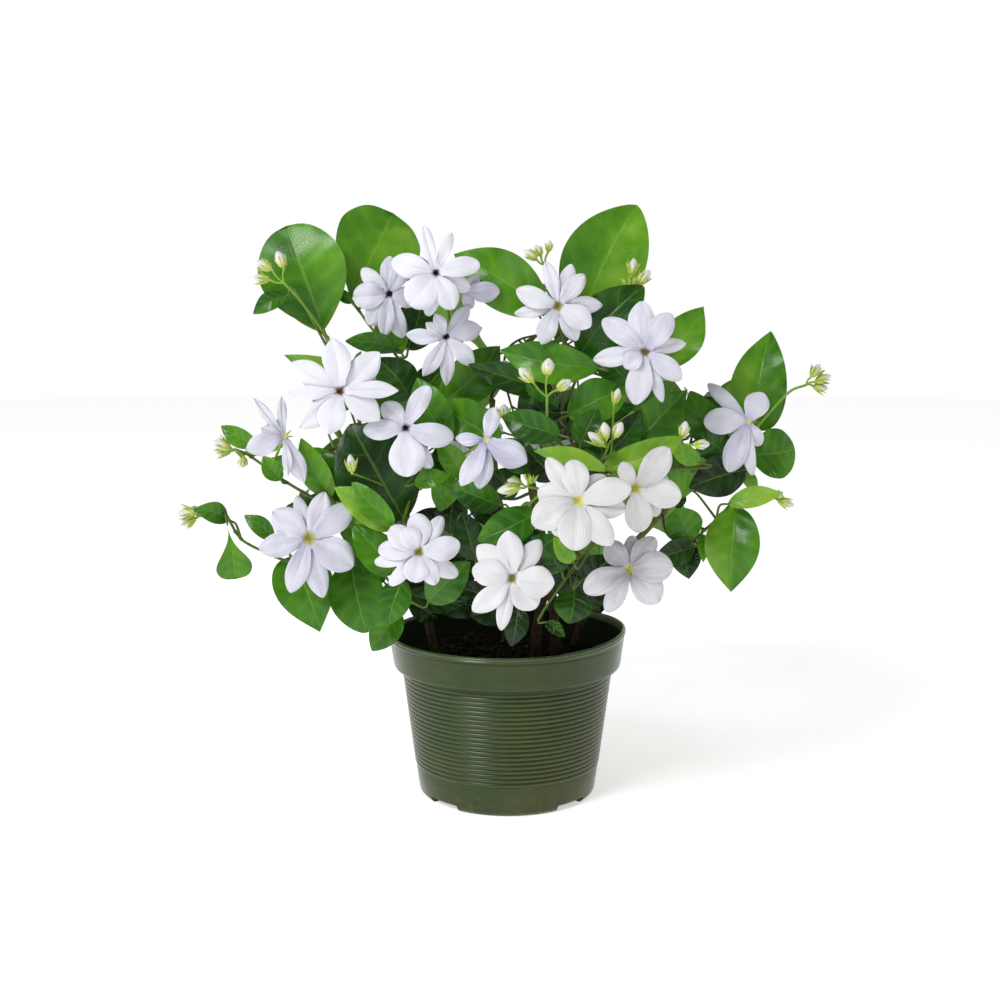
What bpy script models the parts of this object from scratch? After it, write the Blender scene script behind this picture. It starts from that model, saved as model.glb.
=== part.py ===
"""Potted arabian jasmine: a bushy flowering plant in a squat ribbed nursery pot.

Metres, +Z up, origin at the centre of the pot's flat underside. The front of the
plant faces -Y. Every leaf, flower and bud is laid out by the direction in which it
is seen from a viewpoint in front of the plant and by its depth, and is then moved a
little in depth until it is clear of its neighbours.
"""
import math
import random

import bpy
import bmesh
from mathutils import Vector, Matrix, Quaternion
from mathutils.bvhtree import BVHTree

for old in list(bpy.data.objects):
    bpy.data.objects.remove(old, do_unlink=True)

# ---------------------------------------------------------------- sizes
RIM_R = 0.0760          # outer radius of the pot's rolled lip
RIM_LIP = 0.0030        # height of the lip bead
BAND_TOP_R = 0.0753     # rim band, under the lip
BAND_LOW_R = 0.0724     # rim band, at its lower edge
BAND_H = 0.0215         # height of lip and band together
WALL_TOP_R = 0.0673     # pot wall just under the band
FOOT_R = 0.0568         # outer radius of the foot
POT_H = 0.1040          # pot height
WALL_T = 0.0016         # pot wall thickness
FLOOR_T = 0.0022        # pot floor thickness
SOIL_TOP = 0.0860       # level of the potting mix
GAP = 0.0004            # clearance left between pieces that meet
LEAF_T = 0.0010         # thickness of a leaf at its midrib
PETAL_T = 0.0014        # thickness of a flower's plate of petals
RIM_RISE = 0.0033       # how much higher the soft rim stands on the right side

# viewpoint from which the crown was laid out: a leaf or flower is placed by the
# direction in which it is seen (in thousandths of the view's width) and a depth
EYE = Vector((-0.0046, -0.834, 0.298))
PITCH = math.radians(7.50)
FOCAL = 1325.0
AHEAD = Vector((0.0, math.cos(PITCH), -math.sin(PITCH)))
OVER = Vector((0.0, math.sin(PITCH), math.cos(PITCH)))
ACROSS = Vector((1.0, 0.0, 0.0))


def at(px, py, y):
    """Point seen at (px, py) whose depth is y millimetres behind the pot's axis."""
    d = AHEAD * FOCAL + ACROSS * (px - 500.0) - OVER * (py - 500.0)
    return EYE + d * ((y * 0.001 - EYE.y) / d.y)


def seen(p):
    """Direction (px, py) in which a point is seen."""
    v = p - EYE
    k = FOCAL / v.dot(AHEAD)
    return 500.0 + k * v.dot(ACROSS), 500.0 - k * v.dot(OVER)


def span(n, p):
    """Length in metres of n units of view at point p."""
    return n * (p - EYE).dot(AHEAD) / FOCAL


def mm(x, y, z):
    return Vector((x * 0.001, y * 0.001, z * 0.001))


def rim_rise(w):
    """Height that the rim gains at angle w about the pot's axis."""
    return RIM_RISE * max(0.0, math.cos(w)) ** 2


# ---------------------------------------------------------------- woody canes
# name: points in millimetres from the soil up, radius at foot, radius at end
CANES = {
    "cane_front": ([(17, -8, 58), (18, -13, 98), (22, -20, 127), (33, -38, 148), (40, -52, 166), (44, -62, 196), (40, -66, 222)], 0.0032, 0.0019),
    "cane_centre": ([(30, 6, 58), (31, 2, 100), (26, -4, 145), (16, -10, 195), (9, -14, 245), (12, -14, 285)], 0.0036, 0.0018),
    "cane_left": ([(-40, 2, 58), (-48, -4, 98), (-55, -12, 135), (-66, -24, 170), (-86, -34, 205), (-104, -40, 238)], 0.0031, 0.0017),
    "cane_back": ([(-2, 27, 58), (0, 32, 100), (-2, 44, 150), (-8, 58, 200), (-10, 64, 248)], 0.0034, 0.0018),
    "cane_right": ([(40, 20, 58), (47, 20, 98), (66, 12, 138), (98, -4, 180), (128, -16, 213)], 0.0030, 0.0016),
}

# ---------------------------------------------------------------- green shoots
# name: parent, stem as (px, py, depth mm), leaves as
# (base px, base py, base depth, tip px, tip py, tip depth, width, roll, arch mm, fold, tone)
# A shoot bends and branches freely, and its leaves join it by short stalks.
SHOOTS = {
    "shoot_upper_left": ("cane_left", [(342, 402, -50), (336, 370, -60), (329, 342, -66)], [
        (324, 330, -68, 286, 226, -66, 88, 0, 7, 0.10, 0.45),
        (320, 331, -74, 262, 263, -84, 17, 0, 4, 0.35, 0.95),
        (288, 295, -72, 253, 314, -74, 19, 10, 3, 0.20, 0.25),
        (352, 369, -84, 284, 355, -86, 20, 0, 2, 0.20, 0.60),
    ]),
    "shoot_top_left": ("cane_centre", [(474, 450, -24), (434, 412, -36), (411, 382, -48), (394, 352, -54), (376, 334, -55), (357, 308, -50), (347, 296, -46)], [
        (350, 298, -46, 393, 213, -20, 86, 0, 6, 0.12, 0.64),
        (400, 348, -68, 345, 341, -78, 22, 0, 3, 0.25, 0.35),
        (352, 303, -52, 339, 289, -50, 12, 0, 1, 0.20, 0.30),
        (402, 354, -60, 380, 312, -56, 34, 0, 4, 0.20, 0.70),
        (408, 350, -44, 424, 296, -36, 44, 0, 4, 0.15, 0.30),
        (410, 398, -62, 376, 358, -72, 42, 0, 4, 0.25, 0.25),
    ]),
    "shoot_top_mid": ("cane_centre", [(480, 420, -22), (471, 400, -30), (460, 362, -42), (451, 326, -46), (447, 302, -48)], [
        (418, 398, -52, 446, 366, -52, 34, 0, 4, 0.15, 0.35),
        (440, 404, -52, 500, 346, -46, 48, 0, 6, 0.20, 0.45),
    ]),
    "shoot_top": ("cane_centre", [(532, 392, -22), (556, 372, -36), (563, 350, -46), (562, 334, -50), (552, 312, -52)], [
        (547, 312, -54, 454, 254, -46, 58, 0, 8, 0.15, 0.60),
        (598, 368, -84, 500, 350, -78, 42, 0, 6, 0.20, 0.42),
        (552, 390, -66, 468, 364, -72, 30, 0, 5, 0.20, 0.15),
    ]),
    "shoot_top_right": ("cane_front", [(562, 412, -50), (573, 388, -52), (580, 362, -54), (590, 336, -50), (600, 314, -46)], [
        (580, 323, -48, 637, 205, -44, 84, 0, 8, 0.12, 0.62),
        (579, 357, -62, 644, 286, -62, 54, 0, 6, 0.15, 0.30),
        (655, 368, -66, 704, 306, -58, 42, 0, 5, 0.20, 0.60),
        (630, 382, -76, 590, 352, -74, 30, 0, 4, 0.20, 0.35),
        (568, 416, -84, 629, 391, -84, 45, 0, 6, 0.15, 0.40),
        (566, 428, -66, 636, 406, -70, 28, 0, 4, 0.20, 0.30),
    ]),
    "shoot_right": ("cane_right", [(735, 455, -34), (748, 441, -36), (757, 428, -36)], [
        (758, 431, -38, 771, 331, -30, 56, 0, 8, 0.15, 0.55),
        (750, 456, -34, 795, 450, -30, 51, 0, 5, 0.10, 0.55),
        (746, 470, -52, 689, 488, -58, 42, 0, 5, 0.10, 0.05),
        (722, 446, -38, 690, 391, -40, 38, 0, 5, 0.20, 0.45),
        (746, 470, -30, 757, 490, -28, 14, 0, 1, 0.10, 0.70),
        (728, 424, -34, 692, 398, -34, 28, 0, 4, 0.20, 0.40),
        (730, 456, -46, 694, 432, -44, 34, 0, 4, 0.20, 0.25),
    ]),
    "shoot_mid_right": ("cane_front", [(590, 470, -76), (604, 472, -92), (611, 456, -96)], [
        (607, 470, -108, 533, 451, -112, 20, 0, 3, 0.20, 0.92),
        (604, 467, -100, 684, 436, -98, 33, 0, 5, 0.20, 0.90),
        (632, 446, -76, 688, 389, -70, 44, 0, 5, 0.15, 0.40),
        (700, 463, -72, 668, 440, -78, 20, 0, 3, 0.20, 0.65),
        (612, 450, -72, 642, 410, -74, 30, 0, 4, 0.20, 0.15),
        (604, 472, -62, 606, 426, -64, 30, 0, 3, 0.20, 0.05),
        (600, 472, -98, 566, 455, -102, 28, 0, 3, 0.20, 0.20),
        (560, 478, -84, 528, 450, -88, 32, 0, 3, 0.20, 0.05),
    ]),
    "shoot_lower_right": ("cane_right", [(668, 535, -30), (688, 543, -50), (708, 527, -54), (728, 509, -54)], [
        (692, 541, -56, 676, 509, -60, 38, 0, 3, 0.15, 0.60),
        (684, 543, -58, 689, 579, -66, 32, 0, 3, 0.25, 0.05),
        (694, 547, -60, 655, 558, -70, 28, 0, 2, 0.30, 0.10),
        (702, 534, -58, 703, 562, -56, 14, 0, 2, 0.25, 0.65),
        (736, 507, -56, 731, 592, -64, 55, 0, 7, 0.18, 0.60),
        (728, 504, -62, 783, 493, -66, 22, 0, 3, 0.25, 0.90),
        (677, 509, -54, 684, 493, -50, 12, 0, 2, 0.20, 0.20),
        (692, 491, -50, 663, 471, -56, 32, 0, 3, 0.15, 0.65),
    ]),
    "shoot_left_centre": ("cane_left", [(404, 524, -52), (410, 500, -72), (418, 470, -84), (426, 445, -86)], [
        (404, 520, -82, 350, 424, -80, 84, 0, 7, 0.12, 0.12),
        (390, 530, -98, 334, 487, -100, 32, 0, 4, 0.15, 0.75),
        (394, 524, -106, 352, 482, -104, 26, 0, 3, 0.25, 0.50),
        (414, 484, -94, 450, 476, -96, 20, 0, 3, 0.20, 0.45),
        (392, 574, -84, 352, 526, -88, 38, 0, 4, 0.15, 0.55),
        (448, 442, -84, 417, 377, -80, 42, 0, 4, 0.15, 0.45),
    ]),
    "shoot_far_left": ("cane_left", [(366, 522, -52), (345, 511, -64), (325, 504, -72), (308, 495, -76), (283, 480, -76), (268, 469, -74), (250, 456, -72), (240, 451, -72)], [
        (281, 480, -80, 263, 456, -82, 20, 0, 2, 0.30, 0.50),
        (258, 446, -78, 221, 426, -80, 20, 0, 2, 0.15, 0.55),
        (274, 540, -72, 244, 515, -70, 19, 0, 2, 0.20, 0.40),
        (350, 500, -74, 304, 453, -76, 40, 0, 4, 0.20, 0.35),
        (331, 497, -84, 301, 438, -88, 30, 0, 2, 0.20, 0.60),
    ]),
    "shoot_low_left": ("cane_left", [(388, 574, -44), (345, 562, -70), (318, 563, -76), (287, 561, -80), (256, 548, -82), (240, 538, -82), (231, 524, -82)], [
        (228, 521, -86, 194, 509, -90, 22, 0, 4, 0.20, 0.40),
        (227, 522, -84, 236, 579, -80, 36, 0, 4, 0.15, 0.50),
        (290, 556, -72, 320, 632, -80, 60, 0, 5, 0.15, 0.50),
        (350, 556, -70, 366, 633, -82, 56, 0, 5, 0.18, 0.45),
    ]),
    "shoot_bottom_left": ("cane_left", [(408, 606, -36), (398, 596, -58), (392, 588, -74)], [
        (402, 580, -84, 388, 626, -88, 34, 0, 3, 0.15, 0.30),
        (400, 612, -60, 372, 651, -64, 32, 0, 3, 0.20, 0.50),
        (378, 566, -92, 334, 512, -96, 30, 0, 3, 0.20, 0.60),
        (384, 582, -80, 350, 545, -84, 32, 0, 3, 0.15, 0.40),
        (428, 602, -84, 470, 562, -96, 38, 0, 4, 0.15, 0.35),
        (404, 592, -76, 466, 603, -72, 26, 0, 3, 0.20, 0.10),
        (408, 600, -40, 438, 618, -32, 26, 0, 3, 0.20, 0.04),
        (428, 600, -36, 488, 610, -24, 32, 0, 3, 0.20, 0.03),
        (398, 592, -58, 426, 576, -62, 26, 0, 3, 0.20, 0.08),
    ]),
    "shoot_bottom_centre": ("cane_front", [(530, 584, -48), (516, 566, -76), (506, 548, -92), (500, 530, -96)], [
        (540, 512, -102, 477, 541, -106, 38, 0, 5, 0.15, 0.40),
        (536, 552, -92, 556, 536, -100, 30, 0, 3, 0.15, 0.25),
        (517, 602, -88, 511, 647, -92, 26, 0, 4, 0.25, 0.05),
        (500, 505, -88, 450, 486, -92, 32, 0, 4, 0.20, 0.25),
        (476, 560, -82, 462, 512, -88, 34, 0, 4, 0.15, 0.15),
        (506, 520, -76, 466, 501, -72, 26, 0, 3, 0.20, 0.10),
        (502, 606, -66, 450, 586, -70, 26, 0, 3, 0.20, 0.05),
        (474, 550, -58, 450, 590, -54, 36, 0, 3, 0.20, 0.05),
        (530, 572, -58, 534, 528, -62, 34, 0, 3, 0.20, 0.06),
        (512, 600, -44, 470, 616, -36, 32, 0, 3, 0.20, 0.03),
    ]),
    "shoot_bottom_right": ("cane_front", [(584, 556, -66), (592, 544, -76), (604, 534, -80)], [
        (580, 582, -84, 612, 556, -90, 38, 0, 3, 0.15, 0.05),
        (574, 590, -92, 569, 624, -98, 40, 0, 4, 0.12, 0.22),
        (574, 562, -112, 554, 537, -120, 18, 0, 3, 0.20, 0.75),
        (546, 622, -70, 565, 637, -76, 14, 0, 1, 0.20, 0.20),
        (562, 572, -84, 546, 548, -92, 26, 0, 3, 0.20, 0.15),
        (578, 604, -62, 612, 568, -66, 34, 0, 4, 0.20, 0.04),
        (566, 558, -44, 576, 602, -36, 38, 0, 3, 0.20, 0.03),
        (588, 580, -30, 601, 614, -26, 28, 0, 3, 0.20, 0.02),
    ]),
    "shoot_centre": ("cane_centre", [(530, 424, -44), (536, 428, -72), (546, 430, -92)], [
        (560, 435, -100, 502, 416, -96, 34, 0, 5, 0.20, 0.25),
        (500, 442, -92, 438, 404, -84, 46, 0, 5, 0.15, 0.50),
        (536, 470, -88, 500, 440, -86, 34, 0, 4, 0.15, 0.20),
        (580, 446, -96, 598, 408, -100, 30, 0, 4, 0.15, 0.20),
        (562, 413, -78, 514, 412, -74, 20, 0, 3, 0.20, 0.05),
        (550, 434, -60, 524, 384, -62, 42, 0, 4, 0.20, 0.16),
        (560, 440, -50, 572, 398, -52, 34, 0, 3, 0.20, 0.08),
    ]),
    "shoot_centre_left": ("cane_centre", [(502, 498, -34), (468, 462, -72), (456, 458, -82)], [
        (462, 478, -86, 436, 440, -90, 26, 0, 3, 0.20, 0.55),
        (446, 470, -82, 440, 512, -80, 28, 0, 3, 0.20, 0.60),
        (492, 494, -80, 520, 468, -84, 34, 0, 4, 0.20, 0.12),
        (452, 480, -66, 440, 440, -68, 30, 0, 3, 0.20, 0.30),
        (456, 488, -62, 450, 534, -58, 34, 0, 3, 0.20, 0.10),
        (452, 522, -50, 410, 518, -54, 22, 0, 3, 0.20, 0.08),
    ]),
}

# shoots on the sides, the far side and over the top: the cane that each springs
# from, a seed, and its branches as (points in millimetres, pairs of leaves). The
# first branch springs from the cane, the others from the first.
FAR_SHOOTS = {
    "shoot_back": ("cane_back", 11, [
        ([(-4, 82, 262), (2, 98, 284), (20, 116, 291)], 3),
        ([(-22, 102, 274), (-42, 108, 286)], 3),
        ([(26, 108, 276), (48, 108, 288)], 3),
        ([(4, 104, 240), (8, 122, 232)], 2),
    ]),
    "shoot_back_left": ("cane_back", 12, [
        ([(-30, 66, 178), (-68, 76, 205), (-98, 66, 236)], 4),
        ([(-66, 96, 186), (-78, 114, 180)], 3),
        ([(-74, 98, 232), (-78, 112, 252)], 3),
        ([(-34, 92, 164), (-36, 108, 152)], 2),
    ]),
    "shoot_back_right": ("cane_back", 23, [
        ([(30, 66, 178), (66, 70, 208), (94, 58, 242)], 4),
        ([(64, 94, 188), (76, 112, 182)], 3),
        ([(70, 94, 236), (74, 110, 254)], 3),
        ([(34, 92, 162), (38, 108, 150)], 2),
    ]),
    "shoot_left_side": ("cane_left", 15, [
        ([(-84, -4, 186), (-106, 16, 208), (-120, 34, 236)], 4),
        ([(-112, 38, 196), (-120, 52, 186)], 2),
        ([(-128, -2, 216), (-142, -8, 226)], 2),
        ([(-96, 30, 236), (-94, 42, 262)], 3),
        ([(-72, 10, 204), (-50, 18, 218), (-36, 22, 228)], 3),
    ]),
    "shoot_right_side": ("cane_right", 16, [
        ([(110, 14, 196), (120, 32, 218), (124, 44, 244)], 4),
        ([(112, 48, 196), (118, 62, 184)], 2),
        ([(136, 14, 216), (148, 10, 224)], 2),
        ([(104, 40, 240), (98, 50, 266)], 3),
        ([(90, 20, 208), (74, 24, 218), (62, 24, 222)], 3),
    ]),
    "shoot_top_back": ("cane_centre", 14, [
        ([(21, 0, 294), (28, 12, 306), (26, 28, 320), (14, 42, 328)], 4),
        ([(-12, 26, 318), (-38, 32, 324)], 3),
        ([(46, 20, 314), (66, 24, 318)], 3),
        ([(22, 54, 318), (20, 72, 322)], 2),
        ([(38, 14, 286), (46, 26, 262), (44, 34, 240)], 3),
        ([(4, 8, 276), (-14, 18, 258), (-26, 26, 238)], 3),
    ]),
}

# ---------------------------------------------------------------- flowers
# name: (centre px, py, depth mm, throat tone, shade), petals as
# (direction in degrees, length, width, how far the tip lies behind the throat in mm)
FLOWERS = {
    "flower_01": ((436, 273, -90, 0.10, 0.10), [(104, 48, 14, 3), (68, 43, 12, 4), (11, 45, 20, 1), (-25, 38, 18, 5), (-65, 40, 24, 1), (-101, 44, 17, 4), (-128, 42, 34, -1), (166, 46, 25, 2)]),
    "flower_02": ((389, 294, -68, 0.05, 0.35), [(137, 37, 17, 2), (184, 36, 27, 1), (-124, 37, 23, 3), (-97, 42, 17, 1), (-73, 46, 19, 3), (-10, 30, 22, 4), (60, 36, 20, 3), (88, 38, 17, 5)]),
    "flower_03": ((446, 337, -74, 0.15, 0.25), [(176, 41, 16, 2), (-121, 46, 16, 1), (-90, 49, 15, 3), (-46, 41, 18, 1), (14, 38, 21, 4), (53, 40, 15, 5), (115, 26, 13, -3), (145, 25, 12, -2)]),
    "flower_04": ((340, 391, -118, 0.30, 0.00), [(97, 54, 29, 0), (44, 56, 27, 2), (0, 59, 18, 0), (-37, 50, 27, 2), (-106, 45, 29, 0), (-138, 55, 25, 3), (181, 52, 15, 1), (149, 56, 25, 2)]),
    "flower_05": ((284, 436, -104, 0.85, 0.30), [(127, 48, 11, -2), (92, 40, 10, 2), (199, 40, 23, -4), (-86, 41, 10, -2), (-68, 52, 19, 3), (160, 24, 12, -3)]),
    "flower_06": ((406, 428, -106, 0.08, 0.30), [(61, 48, 20, 1), (-12, 49, 25, 0), (-58, 48, 17, 4), (-90, 49, 37, 0), (183, 43, 21, 2), (132, 34, 22, 3)]),
    "flower_07": ((486, 440, -118, 0.60, 0.75), [(76, 34, 17, 3), (176, 31, 14, 3), (-119, 53, 20, 1), (-98, 50, 22, 3), (-29, 47, 29, 0)]),
    "flower_08": ((558, 306, -94, 0.55, 0.25), [(106, 46, 15, 2), (72, 44, 17, 5), (50, 41, 19, 1), (1, 45, 18, 5), (-31, 39, 25, 0), (-61, 40, 19, 2), (-113, 42, 21, 1), (159, 45, 21, 0), (190, 45, 13, 5)]),
    "flower_09": ((645, 352, -102, 0.50, 0.30), [(95, 51, 27, 1), (143, 54, 24, 2), (189, 53, 20, 2), (-100, 54, 27, 1), (-70, 54, 13, 4), (-37, 46, 21, 2), (12, 42, 15, 6), (56, 46, 26, 0), (215, 26, 20, -2)]),
    "flower_10": ((748, 422, -60, 0.70, 0.35), [(137, 56, 15, 4), (64, 33, 25, 3), (180, 44, 27, 0), (-110, 54, 25, 1), (-84, 54, 13, 3), (-62, 27, 17, 4)]),
    "flower_11": ((309, 538, -98, 0.75, 0.30), [(70, 49, 23, 1), (36, 54, 27, 0), (-35, 53, 34, 1), (-78, 62, 23, 2), (-110, 58, 23, 0), (192, 51, 25, 2), (142, 45, 29, 1), (105, 45, 15, 6)]),
    "flower_12": ((419, 552, -112, 0.65, 0.15), [(10, 42, 25, 0), (56, 43, 17, 3), (92, 39, 25, 1), (140, 38, 24, 0), (176, 41, 21, 2), (193, 46, 15, 5), (-132, 45, 15, 5), (-99, 31, 26, 0), (-63, 37, 19, 2), (-32, 46, 19, 4), (122, 28, 22, -3)]),
    "flower_13": ((512, 578, -126, 0.70, 0.10), [(95, 48, 27, 1), (137, 48, 25, 2), (168, 41, 28, 0), (220, 52, 23, 2), (-102, 54, 16, 4), (-52, 39, 30, 2), (-7, 43, 33, 0), (53, 48, 21, 3)]),
    "flower_14": ((578, 501, -144, 0.90, 0.30), [(126, 54, 20, 3), (98, 42, 28, 1), (15, 55, 28, 0), (-9, 49, 25, 3), (-52, 56, 27, 2), (-93, 50, 36, 0), (-123, 42, 30, 2), (-153, 52, 33, 1), (167, 42, 27, 3), (42, 38, 22, 5)]),
    "flower_15": ((636, 488, -118, 0.80, 0.45), [(120, 30, 17, 4), (52, 52, 28, 0), (-12, 46, 30, 1), (-85, 45, 28, 3), (18, 34, 22, 4), (-50, 36, 20, 5)]),
    "flower_16": ((629, 570, -116, 0.70, 0.70), [(128, 36, 24, 2), (85, 35, 16, 4), (52, 42, 22, 2), (6, 44, 32, 0), (-46, 44, 32, 2), (-117, 48, 20, 1), (206, 50, 26, 0)]),
    "flower_17": ((462, 291, -68, 0.40, 0.50), [(0, 38, 21, 0), (-60, 20, 12, 4), (40, 22, 12, 4)]),
}

# clusters on the sides and the far side: fork of the stalks in millimetres, and
# flowers as (place in millimetres, facing, number of petals, length mm)
FAR_FLOWERS = {
    "flowers_back": ((-2, 112, 222), [
        ((-30, 142, 222), (-0.25, 0.93, 0.25), 8, 25.0),
        ((30, 146, 216), (0.20, 0.97, 0.10), 9, 26.0)]),
    "flowers_left_side": ((-100, 60, 232), [
        ((-122, 62, 254), (-0.85, 0.35, 0.25), 8, 24.0),
        ((-88, 112, 222), (-0.50, 0.85, 0.15), 7, 25.0)]),
    "flowers_right_side": ((122, 62, 222), [
        ((152, 64, 238), (0.85, 0.38, 0.25), 9, 24.0),
        ((106, 106, 214), (0.45, 0.88, 0.15), 8, 25.0)]),
}

# ---------------------------------------------------------------- flower buds
# name: foot of the stalk (px, py, depth), fork (px, py, depth), buds as
# (base px, base py, tip px, tip py, width, depth, opening 0 shut .. 1 calyx only)
BUDS = {
    "buds_upper_left": ((300, 300, -90), (284, 283, -96), [(284, 268, 277, 251, 11, -98, 0.2), (272, 270, 256, 261, 10, -97, 0.4), (270, 280, 253, 277, 8, -96, 0.5)]),
    "buds_top": ((552, 296, -70), (545, 265, -76), [(537, 260, 524, 250, 8, -78, 0.3), (541, 256, 535, 245, 8, -76, 0.3), (548, 252, 550, 240, 7, -74, 0.3)]),
    "buds_top_right": ((606, 302, -66), (622, 290, -72), [(632, 276, 634, 258, 9, -74, 0.5), (629, 288, 628, 275, 9, -78, 0.9), (638, 285, 650, 270, 11, -74, 0.5)]),
    "buds_centre": ((547, 438, -106), (547, 397, -108), [(533, 382, 519, 368, 12, -112, 0.3), (547, 376, 549, 358, 13, -112, 0.1), (557, 390, 571, 380, 11, -110, 0.2)]),
    "buds_mid_right": ((604, 458, -102), (608, 446, -108), [(606, 440, 604, 422, 11, -112, 0.0), (614, 438, 622, 422, 11, -110, 0.1), (604, 446, 588, 432, 10, -114, 0.6)]),
    "buds_right": ((664, 452, -96), (680, 446, -100), [(682, 438, 686, 421, 10, -102, 0.1), (694, 445, 710, 444, 10, -102, 0.1)]),
    "buds_far_right": ((788, 393, -34), (806, 385, -36), [(811, 377, 820, 364, 8, -37, 0.6), (815, 382, 831, 375, 8, -36, 0.6), (813, 386, 828, 389, 8, -35, 0.6)]),
    "buds_low_right": ((762, 500, -62), (772, 499, -66), [(776, 497, 783, 492, 7, -68, 0.6), (778, 500, 794, 506, 9, -68, 0.3)]),
    "buds_far_left": ((246, 454, -72), (234, 449, -74), [(231, 449, 213, 441, 12, -75, 0.4), (231, 451, 214, 451, 10, -73, 0.6), (244, 457, 242, 468, 9, -77, 0.4)]),
    "buds_low_left": ((206, 516, -92), (198, 516, -94), [(196, 513, 178, 513, 10, -95, 0.6), (196, 518, 181, 525, 8, -94, 0.7), (198, 512, 190, 507, 7, -93, 0.5)]),
    "buds_low_centre": ((540, 494, -106), (528, 486, -112), [(520, 488, 497, 491, 11, -114, 0.1), (522, 484, 507, 480, 9, -112, 0.4), (531, 483, 531, 474, 9, -116, 1.0)]),
}


# ---------------------------------------------------------------- plain geometry
def smooth(points, n):
    """n points on a smooth curve through the given ones."""
    pts = [2 * points[0] - points[1]] + list(points) + [2 * points[-1] - points[-2]]
    spans = len(points) - 1
    out = []
    for i in range(n):
        u = i * spans / (n - 1)
        k = min(int(u), spans - 1)
        t = u - k
        a, b, c, d = pts[k:k + 4]
        out.append(0.5 * (2 * b + (c - a) * t + (2 * a - 5 * b + 4 * c - d) * t * t + (3 * b - a - 3 * c + d) * t ** 3))
    return out


def frames(path):
    """A pair of cross directions at each point of a path, turning as little as possible."""
    out = []
    ref = Vector((0.0, 0.0, 1.0))
    for i, p in enumerate(path):
        d = (path[min(i + 1, len(path) - 1)] - path[max(i - 1, 0)]).normalized()
        if i == 0 and abs(d.dot(ref)) > 0.9:
            ref = Vector((1.0, 0.0, 0.0))
        a = (ref - d * ref.dot(d)).normalized()
        out.append((a, d.cross(a)))
        ref = a
    return out


def tube(path, radii, sides):
    """Closed round tube along a path."""
    verts, faces = [], []
    for p, (a, b), r in zip(path, frames(path), radii):
        for k in range(sides):
            w = 2 * math.pi * k / sides
            verts.append(p + a * (r * math.cos(w)) + b * (r * math.sin(w)))
    n = len(path)
    for i in range(n - 1):
        for k in range(sides):
            k2 = (k + 1) % sides
            faces.append((i * sides + k, i * sides + k2, (i + 1) * sides + k2, (i + 1) * sides + k))
    faces.append(tuple(reversed(range(sides))))
    faces.append(tuple(range((n - 1) * sides, n * sides)))
    return verts, faces


def nearest(path, p):
    """Index of the path's point that is nearest to p."""
    return min(range(len(path)), key=lambda i: (path[i] - p).length_squared)


def leave(parent_path, parent_radii, first, extra=0.0006):
    """Point on a parent stem's surface from which a branch to 'first' springs, and its direction."""
    i = nearest(parent_path, first)
    p = parent_path[i]
    d = first - p
    last = len(parent_path) - 1
    run = (parent_path[min(i + 1, last)] - parent_path[max(i - 1, 0)]).normalized()
    if i == last and d.dot(run) > 0.5 * d.length:
        return p + run * extra, run
    e = d - run * d.dot(run)
    if e.length < 1e-6:
        e = Vector((1.0, 0.0, 0.0)) - run * run.x
    e.normalize()
    return p + e * (parent_radii[i] + extra), e


class Blade:
    """One leaf or petal: its middle line, width and hollow, all in metres."""

    def __init__(self, base, tip, width, normal, arch, fold, widest, blunt, neck=0.0):
        self.base, self.tip = base, tip
        self.axis = (tip - base).normalized()
        self.length = (tip - base).length
        n = normal - self.axis * normal.dot(self.axis)
        self.normal = n.normalized()
        self.side = self.axis.cross(self.normal)
        self.width, self.arch, self.fold = width, arch, fold
        self.widest, self.blunt, self.neck = widest, blunt, neck
        self.straight = False

    def half(self, t):
        """Half width at t, from 0 at the base to 1 at the tip."""
        if t <= 0.0 or t >= 1.0:
            return self.neck * self.width * 0.5 if t <= 0.0 else 0.0
        s = t ** (math.log(0.5) / math.log(self.widest))
        w = math.sin(math.pi * s) ** self.blunt
        return 0.5 * self.width * max(w, self.neck * (1.0 - t))

    def point(self, t, s):
        """Point at t along and s across, from -1 to 1."""
        h = self.half(t)
        mid = self.base.lerp(self.tip, t) + self.normal * (self.arch * math.sin(math.pi * t))
        return mid + self.side * (h * s) + self.normal * (self.fold * h * abs(s) ** 1.5)


def stalk_bend(blade, root):
    """Where a leaf's stalk, sprung from root, turns into the line of the leaf."""
    if blade.straight:
        return blade.base
    return blade.base - blade.axis * min(0.0050, 0.4 * (blade.base - root).length)


def blade_solid(blade, root, thick, stations, grow=0.0):
    """Closed solid of a leaf: four-sided sections from the stalk's root to the tip."""
    verts, faces = [], []
    r = 0.00060 + grow
    bend = stalk_bend(blade, root)
    line = [(root, bend - root), (bend, (bend - root).normalized() + blade.axis), (blade.base, blade.axis)]
    if blade.straight:
        line = [(root, blade.base - root), (blade.base, blade.base - root + blade.axis * (blade.base - root).length)]
    for p, d in line:
        turn = blade.axis.rotation_difference(d) if d.length > 1e-5 else Quaternion()
        side, normal = turn @ blade.side, turn @ blade.normal
        for s, n in ((-1, 0), (0, 1), (1, 0), (0, -1)):
            verts.append(p + side * (s * r) + normal * (n * r))
    for t in stations:
        c = blade.point(t, 0.0)
        taper = thick * (1.0 - 0.45 * t) + 2 * grow
        verts += [blade.point(t, -1.0) - blade.side * grow, c + blade.normal * (taper * 0.5),
                  blade.point(t, 1.0) + blade.side * grow, c - blade.normal * (taper * 0.5)]
    n = len(line) + len(stations)
    for i in range(n - 1):
        for k in range(4):
            k2 = (k + 1) % 4
            faces.append((i * 4 + k, i * 4 + k2, (i + 1) * 4 + k2, (i + 1) * 4 + k))
    verts.append(blade.tip + blade.axis * grow)
    last = (n - 1) * 4
    for k in range(4):
        faces.append((last + k, last + (k + 1) % 4, n * 4))
    faces.append((3, 2, 1, 0))
    return verts, faces


STATIONS = (0.16, 0.45, 0.76)


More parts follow.
